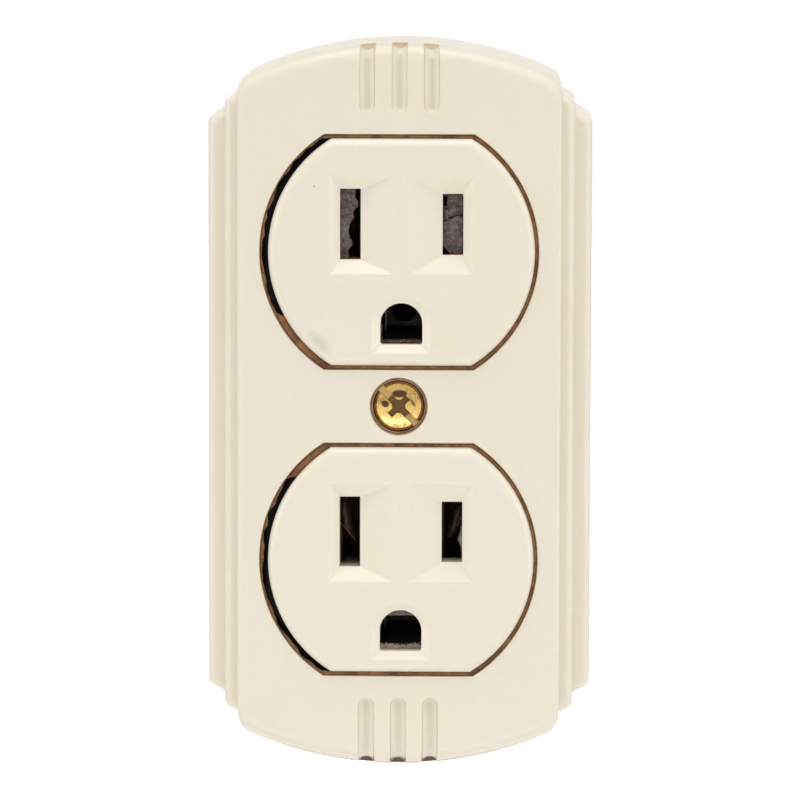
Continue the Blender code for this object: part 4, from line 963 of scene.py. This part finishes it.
class OUTLET_OT_cover(bpy.types.Operator):
    """Build the front cover: three tiers, two openings, a screw seat and six grooves"""

    bl_idname = "outlet.cover"
    bl_label = "Front cover"

    def execute(self, context):
        scene = context.scene
        case, faces, finish = scene.outlet_case, scene.outlet_faces, scene.outlet_finish
        steps = finish.arc_steps
        plastic = case_plastic(finish)
        # Painted shade in the walls of the openings, near black deeper down, and in the screw
        # seat, brown-grey deeper down
        gap = stained_and_shaded_plastic("openings", "#2a1d16", finish)
        seat_stain_and_shade = stained_and_shaded_plastic("screw seat", "#937660", finish)
        # Dirt and painted shade at the grooves' ends
        dirty_and_shaded = groove_plastic(case, finish)
        fronts = [tier.front for tier in case_tiers(case)]
        cover = tier_stack("cover_moulding", case, COVER_BACK, fronts, plastic, steps,
                           filleted=True)
        combine(cover, "DIFFERENCE",
                tier_stack("cover_hollow", case, COVER_BACK - OVERRUN,
                           [front - WALL for front in fronts], plastic, steps, inset=WALL),
                tier_stack("cover_rabbet", case, COVER_BACK - OVERRUN,
                           [COVER_BACK + LIP_HEIGHT] * 3, plastic, steps, inset=LAP - FIT))
        combine(cover, "UNION", rod("cover_boss", BOSS_RADIUS, place(0, FACE_LAND + FIT, 0),
                                    place(0, COVER_FRONT - WALL / 2, 0), plastic, 48))
        for label, z in (("upper", UPPER), ("lower", LOWER)):
            combine(cover, "DIFFERENCE", opening(
                f"opening_{label}",
                lambda more, at=z: shifted(
                    double_d(faces.radius + faces.gap + more,
                             faces.half_height + faces.flat_gap + more), 0, at),
                case.opening_edge, gap))
        seat = [(COUNTERBORE_FLOOR, circle(SCREW_SEAT_RADIUS))]
        for turn in quarter_turn(SEAT_STEPS):
            seat.append((COVER_FRONT - SEAT_EDGE * (1 - math.sin(turn)),
                         circle(SCREW_SEAT_RADIUS + SEAT_EDGE * (1 - math.cos(turn)))))
        seat.append((COVER_FRONT + OVERRUN, seat[-1][1]))
        combine(cover, "DIFFERENCE", layered("screw_seat", seat, seat_stain_and_shade),
                rod("screw_hole", SCREW_HOLE_RADIUS, place(0, FACE_LAND - OVERRUN, 0),
                    place(0, COVER_FRONT + OVERRUN, 0), plastic, 48))
        for end in (1, -1):
            for count in (-1, 0, 1):
                combine(cover, "DIFFERENCE",
                        groove(f"groove_{end}_{count}", case, count * case.groove_pitch, end,
                               dirty_and_shaded))
        smooth_edges(settle(cover))
        hang(cover, "ivory_case", "front_cover")
        return {"FINISHED"}


def score(name, case, side, end, finish, steps):
    """The scored frame of a knock-out, inside an end wall."""
    heights = sorted((end * SCORE_START, end * (case.crown + OVERRUN)))
    sill = FLOOR + WINDOW_SILL
    left, right = side * CABLE_OUT - CABLE_WIDTH / 2, side * CABLE_OUT + CABLE_WIDTH / 2
    ring = block(name, left, right, sill, sill + CABLE_HEIGHT, *heights, finish)
    combine(ring, "DIFFERENCE",
            block(f"{name}_core", left + SCORE_WIDTH, right - SCORE_WIDTH, sill + SCORE_WIDTH,
                  sill + CABLE_HEIGHT - SCORE_WIDTH, heights[0] - OVERRUN,
                  heights[1] + OVERRUN, finish))
    panel = case_tiers(case)[0]
    depth = layered(f"{name}_depth", [(at, tier_outline(case, panel, at, SCORE_WEB, False, steps))
                                      for at in (0, BASE_DEPTH)], finish)
    combine(ring, "INTERSECT", depth)
    return settle(ring)


class OUTLET_OT_base(bpy.types.Operator):
    """Build the base: lip, posts, wall slots, cable window and knock-outs"""

    bl_idname = "outlet.base"
    bl_label = "Base"

    def execute(self, context):
        case, finish = context.scene.outlet_case, context.scene.outlet_finish
        steps = finish.arc_steps
        plastic = base_plastic(finish)
        lip_front = BASE_DEPTH + LIP_HEIGHT
        base = tier_stack("base_moulding", case, 0.0, [BASE_DEPTH] * 3, plastic, steps)
        combine(base, "UNION", tier_stack("base_lip", case, FLOOR, [lip_front] * 3, plastic,
                                          steps, inset=LAP))
        combine(base, "DIFFERENCE", tier_stack("base_hollow", case, FLOOR,
                                               [lip_front + OVERRUN] * 3, plastic, steps,
                                               inset=WALL))
        for end, label in ((1, "top"), (-1, "bottom")):
            z = end * POST_PLACE
            rib = sorted((z, end * (case.crown - WALL / 2)))
            combine(base, "UNION",
                    rod(f"post_{label}", POST_RADIUS, place(DEVICE_SHIFT, FLOOR / 2, z),
                        place(DEVICE_SHIFT, POST_TOP, z), plastic),
                    block(f"post_rib_{label}", DEVICE_SHIFT - POST_RIB_HALF_WIDTH,
                          DEVICE_SHIFT + POST_RIB_HALF_WIDTH, FLOOR / 2, POST_TOP - LIP_HEIGHT,
                          *rib, plastic))
            combine(base, "DIFFERENCE",
                    rod(f"post_pilot_{label}", POST_PILOT_RADIUS,
                        place(DEVICE_SHIFT, POST_PILOT_DEPTH, z),
                        place(DEVICE_SHIFT, POST_TOP + OVERRUN, z), plastic))
        for side in (LEFT, RIGHT):
            x = -CABLE_OUT + side * CLAMP_SCREW_OUT
            combine(base, "UNION",
                    rod(f"clamp_boss_{side}", CLAMP_BOSS_RADIUS,
                        place(x, FLOOR / 2, -CLAMP_PLACE),
                        place(x, CLAMP_BOSS_TOP, -CLAMP_PLACE), plastic))
            combine(base, "DIFFERENCE",
                    rod(f"clamp_pilot_{side}", CLAMP_PILOT_RADIUS,
                        place(x, CLAMP_PILOT_DEPTH, -CLAMP_PLACE),
                        place(x, CLAMP_BOSS_TOP + OVERRUN, -CLAMP_PLACE), plastic))
        combine(base, "DIFFERENCE",
                block("cable_window", -CABLE_OUT - CABLE_WIDTH / 2, -CABLE_OUT + CABLE_WIDTH / 2,
                      FLOOR + WINDOW_SILL, FLOOR + WINDOW_SILL + CABLE_HEIGHT,
                      -case.crown - OVERRUN, -CLAMP_PLACE - CLAMP_HALF_WIDTH, plastic),
                *[score(f"knock_out_{label}", case, side, end, plastic, steps)
                  for label, side, end in (("top_left", LEFT, 1), ("top_right", RIGHT, 1),
                                           ("bottom_right", RIGHT, -1))])
        for side in (LEFT, RIGHT):
            slot = rounded_rectangle(-WALL_SLOT_HALF_WIDTH, WALL_SLOT_HALF_WIDTH,
                                     -WALL_SLOT_HALF_LENGTH, WALL_SLOT_HALF_LENGTH,
                                     WALL_SLOT_HALF_WIDTH, 10)
            slot = shifted(slot, side * WALL_SLOT_OUT, side * WALL_SLOT_UP)
            combine(base, "DIFFERENCE", layered(f"wall_slot_{side}", [
                (-OVERRUN, slot), (FLOOR + OVERRUN, slot)], plastic))
        smooth_edges(settle(base))
        hang(base, "ivory_case", "rear_base")
        return {"FINISHED"}


def funnel(name, narrow, wide, border, rise, finish):
    """A cutter for a hole whose mouth opens with sloping sides, then with a shallow border
    that runs out level with the front."""
    rings = [(POCKET_FRONT - OVERRUN, narrow), (FACE_FRONT - rise, narrow)]
    for step in range(BORDER_STEPS + 1):
        share = step / BORDER_STEPS
        outline = [(x + (border_x - x) * share, z + (border_z - z) * share)
                   for (x, z), (border_x, border_z) in zip(wide, border)]
        rings.append((FACE_FRONT + BORDER_CLEAR - BORDER_DEPTH * (1 - share) ** 2, outline))
    rings.append((FACE_FRONT + OVERRUN, border))
    return layered(name, rings, finish)


class OUTLET_OT_faces(bpy.types.Operator):
    """Build both receptacle faces, with their plates, slots and ground holes"""

    bl_idname = "outlet.faces"
    bl_label = "Receptacle faces"

    def execute(self, context):
        faces, finish = context.scene.outlet_faces, context.scene.outlet_finish
        for label, end, walls in (("upper", 1, finish.upper_walls),
                                  ("lower", -1, finish.lower_walls)):
            self.build_face(faces, label, end, face_plastic(label, walls, finish))
        return {"FINISHED"}

    def build_face(self, faces, label, end, plastic):
        """One raised face on its own plate."""
        middle = end * UPPER
        ends = sorted((end * FIT / 2, end * (UPPER + faces.half_height + PLATE_BORDER)))
        plate = rounded_rectangle(-PLATE_HALF_WIDTH, PLATE_HALF_WIDTH, *ends, PLATE_CORNER)
        moulding = layered(f"face_moulding_{label}", [(FACE_BACK, plate), (FACE_LAND, plate)],
                           plastic)
        rings = [((FACE_BACK + FACE_LAND) / 2, double_d(faces.radius, faces.half_height))]
        for turn in quarter_turn(RIM_STEPS):
            inset = faces.rim * (1 - math.cos(turn))
            rings.append((FACE_FRONT - faces.rim * (1 - math.sin(turn)),
                          double_d(faces.radius - inset, faces.half_height - inset)))
        combine(moulding, "UNION", layered(f"face_{label}", [
            (depth, shifted(points, 0, middle)) for depth, points in rings], plastic))
        for name, side, height in (("neutral", LEFT, faces.neutral_height),
                                   ("hot", RIGHT, faces.hot_height)):
            self.cut_slot(moulding, f"{name}_{label}", faces, side, height, middle + SLOT_RISE,
                          plastic)
        self.cut_ground(moulding, label, faces, middle - GROUND_DROP, plastic)
        combine(moulding, "DIFFERENCE",
                block(f"nut_pocket_{label}", -NUT_ROOM, NUT_ROOM, FACE_BACK - OVERRUN,
                      FACE_BACK + NUT_ROOM_DEPTH, -NUT_ROOM, NUT_ROOM, plastic),
                rod(f"face_screw_hole_{label}", FACE_SCREW_HOLE, place(0, FACE_BACK, 0),
                    place(0, FACE_LAND + OVERRUN, 0), plastic),
                *[rod(f"face_rivet_hole_{label}_{side}", RIVET_HOLE_RADIUS,
                      place(side * RIVET_OUT, FACE_BACK - OVERRUN, 0),
                      place(side * RIVET_OUT, FACE_LAND + OVERRUN, 0), plastic)
                  for side in (LEFT, RIGHT)])
        smooth_edges(settle(moulding))
        moulding.location.x = DEVICE_SHIFT
        hang(moulding, "ivory_face", f"receptacle_face_{label}")

    def cut_slot(self, moulding, name, faces, side, height, middle, plastic):
        """A blade slot with its four-sided lead-in and the pocket behind it."""
        centre = side * SLOT_PITCH / 2
        half = faces.slot_width / 2
        outer = SLOT_PITCH / 2 + half + faces.lead_in_run
        ends = sorted((side * faces.lead_in_ridge / 2, side * outer))
        soft_ends = sorted((side * (faces.lead_in_ridge / 2 - RIDGE_BORDER),
                            side * (outer + faces.border)))
        reach = faces.lead_in_half_height
        narrow = rounded_rectangle(centre - half, centre + half, middle - height / 2,
                                   middle + height / 2, SLOT_CORNER)
        wide = rounded_rectangle(*ends, middle - reach, middle + reach, LEAD_IN_CORNER)
        border = rounded_rectangle(*soft_ends, middle - reach - faces.border,
                                   middle + reach + faces.border, BORDER_CORNER)
        combine(moulding, "DIFFERENCE",
                funnel(f"slot_{name}", narrow, wide, border, faces.lead_in, plastic),
                block(f"pocket_{name}", centre - CLIP_ROOM, centre + CLIP_ROOM,
                      FACE_BACK - OVERRUN, POCKET_FRONT, middle - CLIP_HALF_HEIGHT,
                      middle + CLIP_HALF_HEIGHT, plastic))

    def cut_ground(self, moulding, name, faces, middle, plastic):
        """A ground hole with its lead-in and the pocket behind it."""
        outlines = []
        for more in (0, faces.ground_lead_in, faces.ground_lead_in + faces.border / 2):
            outlines.append(shifted(ground_outline(faces.ground_width + 2 * more,
                                                   faces.ground_height + 2 * more,
                                                   GROUND_CORNER), 0, middle))
        combine(moulding, "DIFFERENCE",
                funnel(f"ground_{name}", *outlines, faces.ground_lead_in_depth, plastic),
                block(f"ground_pocket_{name}", -GROUND_ROOM_HALF_WIDTH, GROUND_ROOM_HALF_WIDTH,
                      FACE_BACK - OVERRUN, POCKET_FRONT, middle - GROUND_ROOM,
                      middle + GROUND_ROOM, plastic))


class OUTLET_OT_gap_dirt(bpy.types.Operator):
    """Lay brown dirt, partly painted shade, in the gaps round the faces, and a dark sheet of
    painted shade deep in them
    """

    bl_idname = "outlet.gap_dirt"
    bl_label = "Dirt in the gaps"

    def execute(self, context):
        faces = context.scene.outlet_faces
        # Brown dirt in the gaps, partly painted shade
        dirt = settled_dirt("dust and grease with painted shade, brown", context.scene.outlet_finish.gap_dirt,
                            "#4a2d18")
        # Painted shade: a dark sheet deep in the gaps
        dust = settled_dirt("painted shade, dark", linear("#1f1814"), "#120d0b")
        inner = shifted(double_d(faces.radius + DIRT_AND_SHADE_CLEAR, faces.half_height + DIRT_AND_SHADE_CLEAR),
                        DEVICE_SHIFT, 0)
        outer = double_d(faces.radius + faces.gap - DIRT_AND_SHADE_CLEAR,
                         faces.half_height + faces.flat_gap - DIRT_AND_SHADE_CLEAR)
        # The outline runs from the lower right up to the top, then down the left side
        count = len(inner)
        for label, z in (("upper", UPPER), ("lower", LOWER)):
            clean_start, clean_end = CLEAN_SHARES[label]
            rings = []
            for at in range(count):
                wander = noise.noise(Vector((*inner[at], z)) * DIRT_LUMPS)
                clean = clean_start < at / count < clean_end
                width = CLEAN_WIDTH_SHARE * (1 + 2 * wander) if clean else 1
                near = [out + (into - out) * width for into, out in zip(inner[at], outer[at])]
                front = DIRT_AND_SHADE_FRONT + wander * DIRT_LUMP_HEIGHT
                rings.append([place(x, depth, height + z)
                              for (x, height), depth in ((near, front - DIRT_AND_SHADE_THICKNESS),
                                                         (outer[at], front - DIRT_AND_SHADE_THICKNESS),
                                                         (outer[at], front), (near, front))])
            hang(loft(f"gap_dirt_{label}", rings, dirt, endless=True), "brown_phenolic")
            # Painted shade: the dark sheet laid deep in the gap
            wide = shifted(double_d(faces.radius + faces.gap + SHADE_SHEET_MARGIN,
                                    faces.half_height + faces.flat_gap + SHADE_SHEET_MARGIN), 0, z)
            self.lay_bed(f"gap_dust_{label}", wide, shifted(inner, 0, z), SHADE_SHEET_FRONT, dust)
        screw = context.scene.outlet_screw
        # Painted shade: a brown-grey sheet round the screw head in its seat
        seat_shade_sheet = settled_dirt("painted shade, brown-grey", linear("#b39c88"), "#7d6758")
        self.lay_bed("screw_seat_shade_sheet", circle(SCREW_SEAT_RADIUS - DIRT_AND_SHADE_CLEAR),
                     circle(screw.head_radius + 2 * DIRT_AND_SHADE_CLEAR), SEAT_SHADE_FRONT, seat_shade_sheet)
        return {"FINISHED"}

    def lay_bed(self, name, outer, inner, front, finish):
        """A thin flat bed of painted shade between two outlines."""
        back = front - DIRT_AND_SHADE_THICKNESS
        bed = layered(name, [(back, outer), (front, outer)], finish)
        combine(bed, "DIFFERENCE", layered(f"{name}_hole", [
            (depth, inner) for depth in (back - OVERRUN, front + OVERRUN)], finish))
        hang(settle(bed), "brown_phenolic")


def crust(name, centre, half_width, half_height, keeps, depth_at, finish):
    """A sheet over the part of a slot that keeps() takes in, as deep as depth_at() says."""
    shape = bmesh.new()
    corners = {}
    columns, rows = (round(2 * half / CRUST_CELL) for half in (half_width, half_height))
    for column in range(columns):
        for row in range(rows):
            if not keeps((column + 0.5) * CRUST_CELL - half_width,
                         (row + 0.5) * CRUST_CELL - half_height):
                continue
            loop = []
            for key in ((column, row), (column + 1, row), (column + 1, row + 1),
                        (column, row + 1)):
                if key not in corners:
                    x, z = key[0] * CRUST_CELL - half_width, key[1] * CRUST_CELL - half_height
                    corners[key] = shape.verts.new(place(centre[0] + x, depth_at(x, z),
                                                         centre[1] + z))
                loop.append(corners[key])
            shape.faces.new(loop)
    sheet = add_mesh(name, shape, finish)
    thickness = sheet.modifiers.new("thickness", "SOLIDIFY")
    thickness.thickness = CRUST_CELL
    return settle(sheet)


def lumps(x, z):
    """The lumpy height of the oxide at a place in a slot."""
    spot = Vector((x, 0, z))
    return sum(noise.noise(spot * fineness) * height
               for fineness, height in (COARSE_LUMPS, FINE_LUMPS))


def ragged(x, z):
    """A small wander for the borders of the oxide."""
    fineness, reach = BORDER_WANDER
    return noise.noise(Vector((x, BORDER_PLANE, z)) * fineness) * reach


class OUTLET_OT_slot_contents(bpy.types.Operator):
    """Build what shows in the slots: oxide on the upper contacts, bare leaves in the lower"""

    bl_idname = "outlet.slot_contents"
    bl_label = "Slot contents"

    def execute(self, context):
        faces = context.scene.outlet_faces
        oxide = oxide_crust()
        neutral, hot = (side * SLOT_PITCH / 2 + DEVICE_SHIFT for side in (LEFT, RIGHT))
        half = faces.slot_width / 2 - CRUST_CLEAR
        pieces = [
            crust("neutral_crust", (neutral, UPPER + SLOT_RISE), half,
                  faces.neutral_height / 2 - CRUST_CLEAR,
                  lambda x, z: x < np.interp(z, *zip(*NEUTRAL_CRUST_EDGE)) + ragged(x, z),
                  lambda x, z: CRUST_FRONT + lumps(x, z), oxide),
            crust("hot_crust", (hot, UPPER + SLOT_RISE), half,
                  faces.hot_height / 2 - CRUST_CLEAR, self.on_hot_crust,
                  self.hot_crust_depth, oxide)]
        leaf_bronze = contact_bronze("spring bronze, browned", "#2c1f19", "#402d24", 0.5)
        # Painted highlight: light strips along the leaves' bent edges, partly their bare sheared
        # edges
        sheared_edge_and_highlight_bronze = contact_bronze("spring bronze, sheared edge", "#7a5c4a", "#b28d76", 0.35)
        grey = plated_metal("tinned bronze, dull", "#a8a39a", 0.5)
        for name, x, leaf, edge in (("neutral", neutral, NEUTRAL_LEAF, NEUTRAL_LEAF_EDGE),
                                    ("hot", hot, HOT_LEAF, HOT_LEAF_EDGE)):
            outline = shifted(leaf, x, LOWER + SLOT_RISE)
            pieces.append(layered(f"{name}_leaf", [(LEAF_FRONT - LEAF_THICKNESS, outline),
                                                   (LEAF_FRONT, outline)], leaf_bronze))
            start, end = (place(x + at, LEAF_FRONT, LOWER + SLOT_RISE + up) for at, up in edge)
            pieces.append(rod(f"{name}_leaf_edge", EDGE_RADIUS, start, end, sheared_edge_and_highlight_bronze, 8))
        outline = shifted(HOT_SLIVER, hot, LOWER + SLOT_RISE)
        pieces.append(layered("hot_tip", [(TIP_FRONT - LEAF_THICKNESS, outline),
                                          (TIP_FRONT, outline)], grey))
        pieces += self.ground_deposits(faces, oxide)
        for piece in pieces:
            hang(piece, "contact_brass")
        return {"FINISHED"}

    def ground_deposits(self, faces, oxide):
        """Ragged deposits at the feet of the ground holes, and the ground clip's edge in the
        top of the lower one."""
        half = faces.ground_width / 2 - CRUST_CLEAR
        high = faces.ground_height / 2 - CRUST_CLEAR
        arch = high - half
        chalk = settled_dirt("lime dust, caked", linear("#cfc6b8"), "#a59a8b")

        def at_foot(x, z):
            left = x < ragged(x, z) + GROUND_SIDE_WIDTH - half and z < arch
            return z < 2 * ragged(x, z) + GROUND_FOOT_HEIGHT - high or left

        def at_chalk(x, z):
            return z < 3 * ragged(x, z) + CHALK_HEIGHT - high + CHALK_RISE * abs(x)

        def on_clip(x, z):
            return z > high - CLIP_SHOWN and math.hypot(x, z - arch) < half

        return [crust(f"ground_{name}", (DEVICE_SHIFT, middle - GROUND_DROP), half, high, keeps,
                      lambda x, z, front=front: front + lumps(x, z), finish)
                for name, middle, keeps, front, finish in (
                    ("deposit_upper", UPPER, at_foot, CRUST_FRONT, oxide),
                    ("deposit_lower", LOWER, at_chalk, CRUST_FRONT, chalk),
                    ("clip_edge_lower", LOWER, on_clip, CRUST_FRONT, oxide))]

    def on_hot_crust(self, x, z):
        """The oxide fills the slot but for a crack and two corners on the left."""
        crack = np.interp(x, *zip(*HOT_CRACK)) + ragged(x, z)
        in_crack = abs(z - crack) < CRACK_HALF
        side = HOT_CORNER_SIDE + ragged(x, z)
        top_corner = x < side and HOT_TOP_CORNER[0] < z < HOT_TOP_CORNER[1]
        low_corner = x < side - (z - HOT_LOW_CORNER[0]) and z < HOT_LOW_CORNER[1]
        return not (in_crack or top_corner or low_corner)

    def hot_crust_depth(self, x, z):
        """Lumpy, lower above the crack, with one thick lump beside it on the left."""
        step = CRACK_STEP if z > np.interp(x, *zip(*HOT_CRACK)) else 0
        away = math.hypot((x - HOT_LUMP[0]) / HOT_LUMP_SIZE[0],
                          (z - HOT_LUMP[1]) / HOT_LUMP_SIZE[1])
        lump = HOT_LUMP_HEIGHT * max(0, 1 - away ** 2)
        return CRUST_FRONT + lumps(x, z) - step + lump


class OUTLET_OT_cover_screw(bpy.types.Operator):
    """Turn the cover screw, cut its slot and its cross recess"""

    bl_idname = "outlet.cover_screw"
    bl_label = "Cover screw"

    def execute(self, context):
        screw, finish = context.scene.outlet_screw, context.scene.outlet_finish
        brass = screw_brass(finish)
        seat = COUNTERBORE_FLOOR + FIT
        profile = [(SCREW_TIP_RADIUS, screw.head)]
        profile += [(screw.head_radius * math.sin(turn),
                     screw.rim + (screw.head - screw.rim) * math.cos(turn))
                    for turn in quarter_turn(DOME_STEPS)[1:]]
        profile += [(screw.head_radius, HEAD_CHAMFER), (screw.head_radius - HEAD_CHAMFER, 0.0),
                    (screw.shank, 0.0)]
        turns = int((screw.reach - THREAD_ROOM) / screw.thread_pitch)
        for count in range(turns):
            top = -THREAD_START - count * screw.thread_pitch
            profile += [(screw.shank, top),
                        (screw.shank - THREAD_DEPTH, top - screw.thread_pitch / 2)]
        profile += [(screw.shank * SCREW_POINT_SHARE, -screw.reach),
                    (SCREW_TIP_RADIUS, -screw.reach)]
        rings = [[place(radius * math.cos(turn), seat + height, radius * math.sin(turn))
                  for turn in (math.tau * step / finish.turn_steps
                               for step in range(finish.turn_steps))]
                 for radius, height in profile]
        piece = loft("cover_screw_brass", rings, brass)
        top = seat + screw.head + OVERRUN
        tools = [rod("screw_core", screw.core, place(0, seat + screw.cross_floor, 0),
                     place(0, top, 0), brass)]
        for name, reach, width, floor in (
                ("slot", screw.head_radius + OVERRUN, screw.slot, screw.slot_floor),
                ("cross", screw.cross_width / 2, 2 * screw.cross, screw.cross_floor),
                ("cross_arm", screw.cross, screw.cross_width, screw.cross_floor)):
            tools.append(block(f"screw_{name}", -reach, reach, seat + floor, top, -width / 2,
                               width / 2, brass))
            tools[-1].rotation_euler.y = math.pi / 4
        combine(piece, "DIFFERENCE", *tools)
        smooth_edges(settle(piece))
        hang(piece, "screw_brass", "cover_screw")
        return {"FINISHED"}


class OUTLET_OT_inner_finishes(bpy.types.Operator):
    """Give the device's inner pieces their metals and their phenolic body"""

    bl_idname = "outlet.inner_finishes"
    bl_label = "Inner finishes"

    def execute(self, context):
        zinc = plated_metal("zinc on steel, plated", "#b9bcbd", 0.34)
        brass = contact_bronze("contact brass, rolled", "#4a3427", "#6d4c38", 0.45)
        tinned = plated_metal("tin on brass, dull", "#6f6a64", 0.5)
        # Painted shade: the ground rivet, seen deep in the ground hole, is painted near black
        zinc_painted_dark_for_shade = plated_metal("zinc on steel, painted dark for shade", "#2b2725", 0.7)
        finishes = {
            "receptacle_body": pressed_phenolic(),
            "mounting_strap": zinc, "cover_screw_nut": zinc, "cable_clamp": zinc,
            "hot_contact": brass, "neutral_contact": brass, "ground_contact": tinned,
            "hot_terminal_screw": plated_metal("brass, turned", "#b58f4c", 0.3),
            "neutral_terminal_screw": plated_metal("nickel plate", "#c9c8c3", 0.26),
            "ground_terminal_screw": plated_metal("green chromate on zinc", "#2f7a43", 0.36),
            "strap_screw": zinc, "clamp_screw": zinc, "assembly_rivet": zinc,
            "ground_rivet": zinc_painted_dark_for_shade,
        }
        for name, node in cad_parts.items():
            for start, finish in finishes.items():
                if name.startswith(start):
                    node.data.materials.clear()
                    node.data.materials.append(finish)
        return {"FINISHED"}


def area_light(name, spot, target, size, power):
    """A soft white lamp that looks at a target."""
    data = bpy.data.lights.new(name, "AREA")
    data.shape = "RECTANGLE"
    data.size, data.size_y = size
    data.energy = power
    lamp = new_object(name, data)
    lamp.location = spot
    lamp.rotation_euler = (target - lamp.location).to_track_quat("-Z", "Y").to_euler()


class OUTLET_OT_studio(bpy.types.Operator):
    """Set up the camera, the soft light and the pale floor"""

    bl_idname = "outlet.studio"
    bl_label = "Studio"

    def execute(self, context):
        scene, studio = context.scene, context.scene.outlet_studio
        scene.view_settings.view_transform = "Standard"
        self.add_camera(scene, studio)
        self.add_floor(studio)
        self.light_world(scene)
        for name, (spot, size, power) in LAMPS.items():
            area_light(name, spot, place(0, COVER_FRONT, 0), size, power)
        return {"FINISHED"}

    def add_camera(self, scene, studio):
        """The camera at the photograph's angle and framing."""
        data = bpy.data.cameras.new("camera")
        data.sensor_width = SENSOR_WIDTH
        data.lens = data.sensor_width * studio.distance / studio.frame_width
        data.clip_start, data.clip_end = NEAR, FAR
        camera = new_object("camera", data)
        lean = math.cos(studio.elevation)
        back = Vector((math.sin(studio.azimuth) * lean, -math.cos(studio.azimuth) * lean,
                       math.sin(studio.elevation)))
        camera.location = place(AIM[0], COVER_FRONT, AIM[1]) + back * studio.distance
        tilt = Matrix.Rotation(studio.roll, 3, "Z").to_quaternion()
        camera.rotation_euler = ((-back).to_track_quat("-Z", "Y") @ tilt).to_euler()
        scene.camera = camera

    def add_floor(self, studio):
        """A wide pale floor below the outlet, white to the eye but for the shadow on it."""
        shape = bmesh.new()
        bmesh.ops.create_grid(shape, x_segments=8, y_segments=8, size=FLOOR_REACH)
        floor = add_mesh("pale_floor", shape)
        floor.location.z = FLOOR_HEIGHT
        material, tree, spots = new_material("matt floor paint, rolled")
        clouds = add_node(tree, "TexNoise", {"Vector": spots, "Scale": per_metre(40),
                                             "Detail": 3.0})
        share = add_node(tree, "MapRange", {"Value": clouds, "From Min": 0.3, "From Max": 0.7,
                                            "To Max": 0.05})
        tone = add_node(tree, "Mix", {"Factor": share, "A": studio.floor,
                                      "B": linear("#e2e0dc")}, data_type="RGBA")
        paint = add_node(tree, "BsdfPrincipled", {"Base Color": tone, "Roughness": 0.8})
        white = add_node(tree, "Emission", {"Color": (1, 1, 1, 1), "Strength": 1.0})
        both = add_node(tree, "AddShader", {"Shader": white, "Shader_001": paint})
        shown = add_node(tree, "MixShader", {"Fac": self.white_rays(tree), "Shader": paint,
                                             "Shader_001": both})
        add_node(tree, "OutputMaterial", {"Surface": shown})
        floor.data.materials.append(material)

    def white_rays(self, tree):
        """One for the rays that show the background: camera, glossy and transmission rays."""
        path = add_node(tree, "LightPath").outputs
        seen = add_node(tree, "Math", {"Value": path["Is Camera Ray"],
                                       "Value_001": path["Is Glossy Ray"]},
                        operation="MAXIMUM")
        return add_node(tree, "Math", {"Value": seen,
                                       "Value_001": path["Is Transmission Ray"]},
                        operation="MAXIMUM")

    def light_world(self, scene):
        """An even soft world, white where the background shows."""
        world = bpy.data.worlds.new("studio")
        world.use_nodes = True
        tree = world.node_tree
        tree.nodes.clear()
        even = add_node(tree, "Background", {"Color": (1, 1, 1, 1), "Strength": WORLD_LIGHT})
        white = add_node(tree, "Background", {"Color": (1, 1, 1, 1), "Strength": 1.0})
        both = add_node(tree, "MixShader", {"Fac": self.white_rays(tree), "Shader": even,
                                            "Shader_001": white})
        add_node(tree, "OutputWorld", {"Surface": both})
        scene.world = world


class OUTLET_PT_panel(bpy.types.Panel):
    """Steps and sizes of the outlet"""

    bl_idname = "OUTLET_PT_panel"
    bl_label = "Duplex outlet"
    bl_space_type = "VIEW_3D"
    bl_region_type = "UI"
    bl_category = "Outlet"

    def draw(self, context):
        for step in STEPS:
            self.layout.operator(step.bl_idname)
        for name in GROUPS:
            group = getattr(context.scene, name)
            box = self.layout.box()
            for prop in group.__annotations__:
                box.prop(group, prop)


STEPS = (OUTLET_OT_studio, OUTLET_OT_base, OUTLET_OT_cover, OUTLET_OT_faces,
         OUTLET_OT_gap_dirt, OUTLET_OT_slot_contents, OUTLET_OT_cover_screw,
         OUTLET_OT_inner_finishes)
GROUPS = {"outlet_case": OutletCase, "outlet_faces": OutletFaces, "outlet_screw": OutletScrew,
          "outlet_finish": OutletFinish, "outlet_studio": OutletStudio}
CLASSES = (*GROUPS.values(), *STEPS, OUTLET_PT_panel)


def register():
    """Make the classes and the scene's groups of sizes known."""
    for made in CLASSES:
        bpy.utils.register_class(made)
    for name, group in GROUPS.items():
        setattr(bpy.types.Scene, name, PointerProperty(type=group))


def unregister():
    """Take the groups and the classes away again."""
    for name in GROUPS:
        delattr(bpy.types.Scene, name)
    for made in reversed(CLASSES):
        bpy.utils.unregister_class(made)


def main():
    """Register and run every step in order."""
    register()
    bpy.ops.outlet.studio()
    bpy.ops.outlet.base()
    bpy.ops.outlet.cover()
    bpy.ops.outlet.faces()
    bpy.ops.outlet.gap_dirt()
    bpy.ops.outlet.slot_contents()
    bpy.ops.outlet.cover_screw()
    bpy.ops.outlet.inner_finishes()


if __name__ == "__main__":
    main()
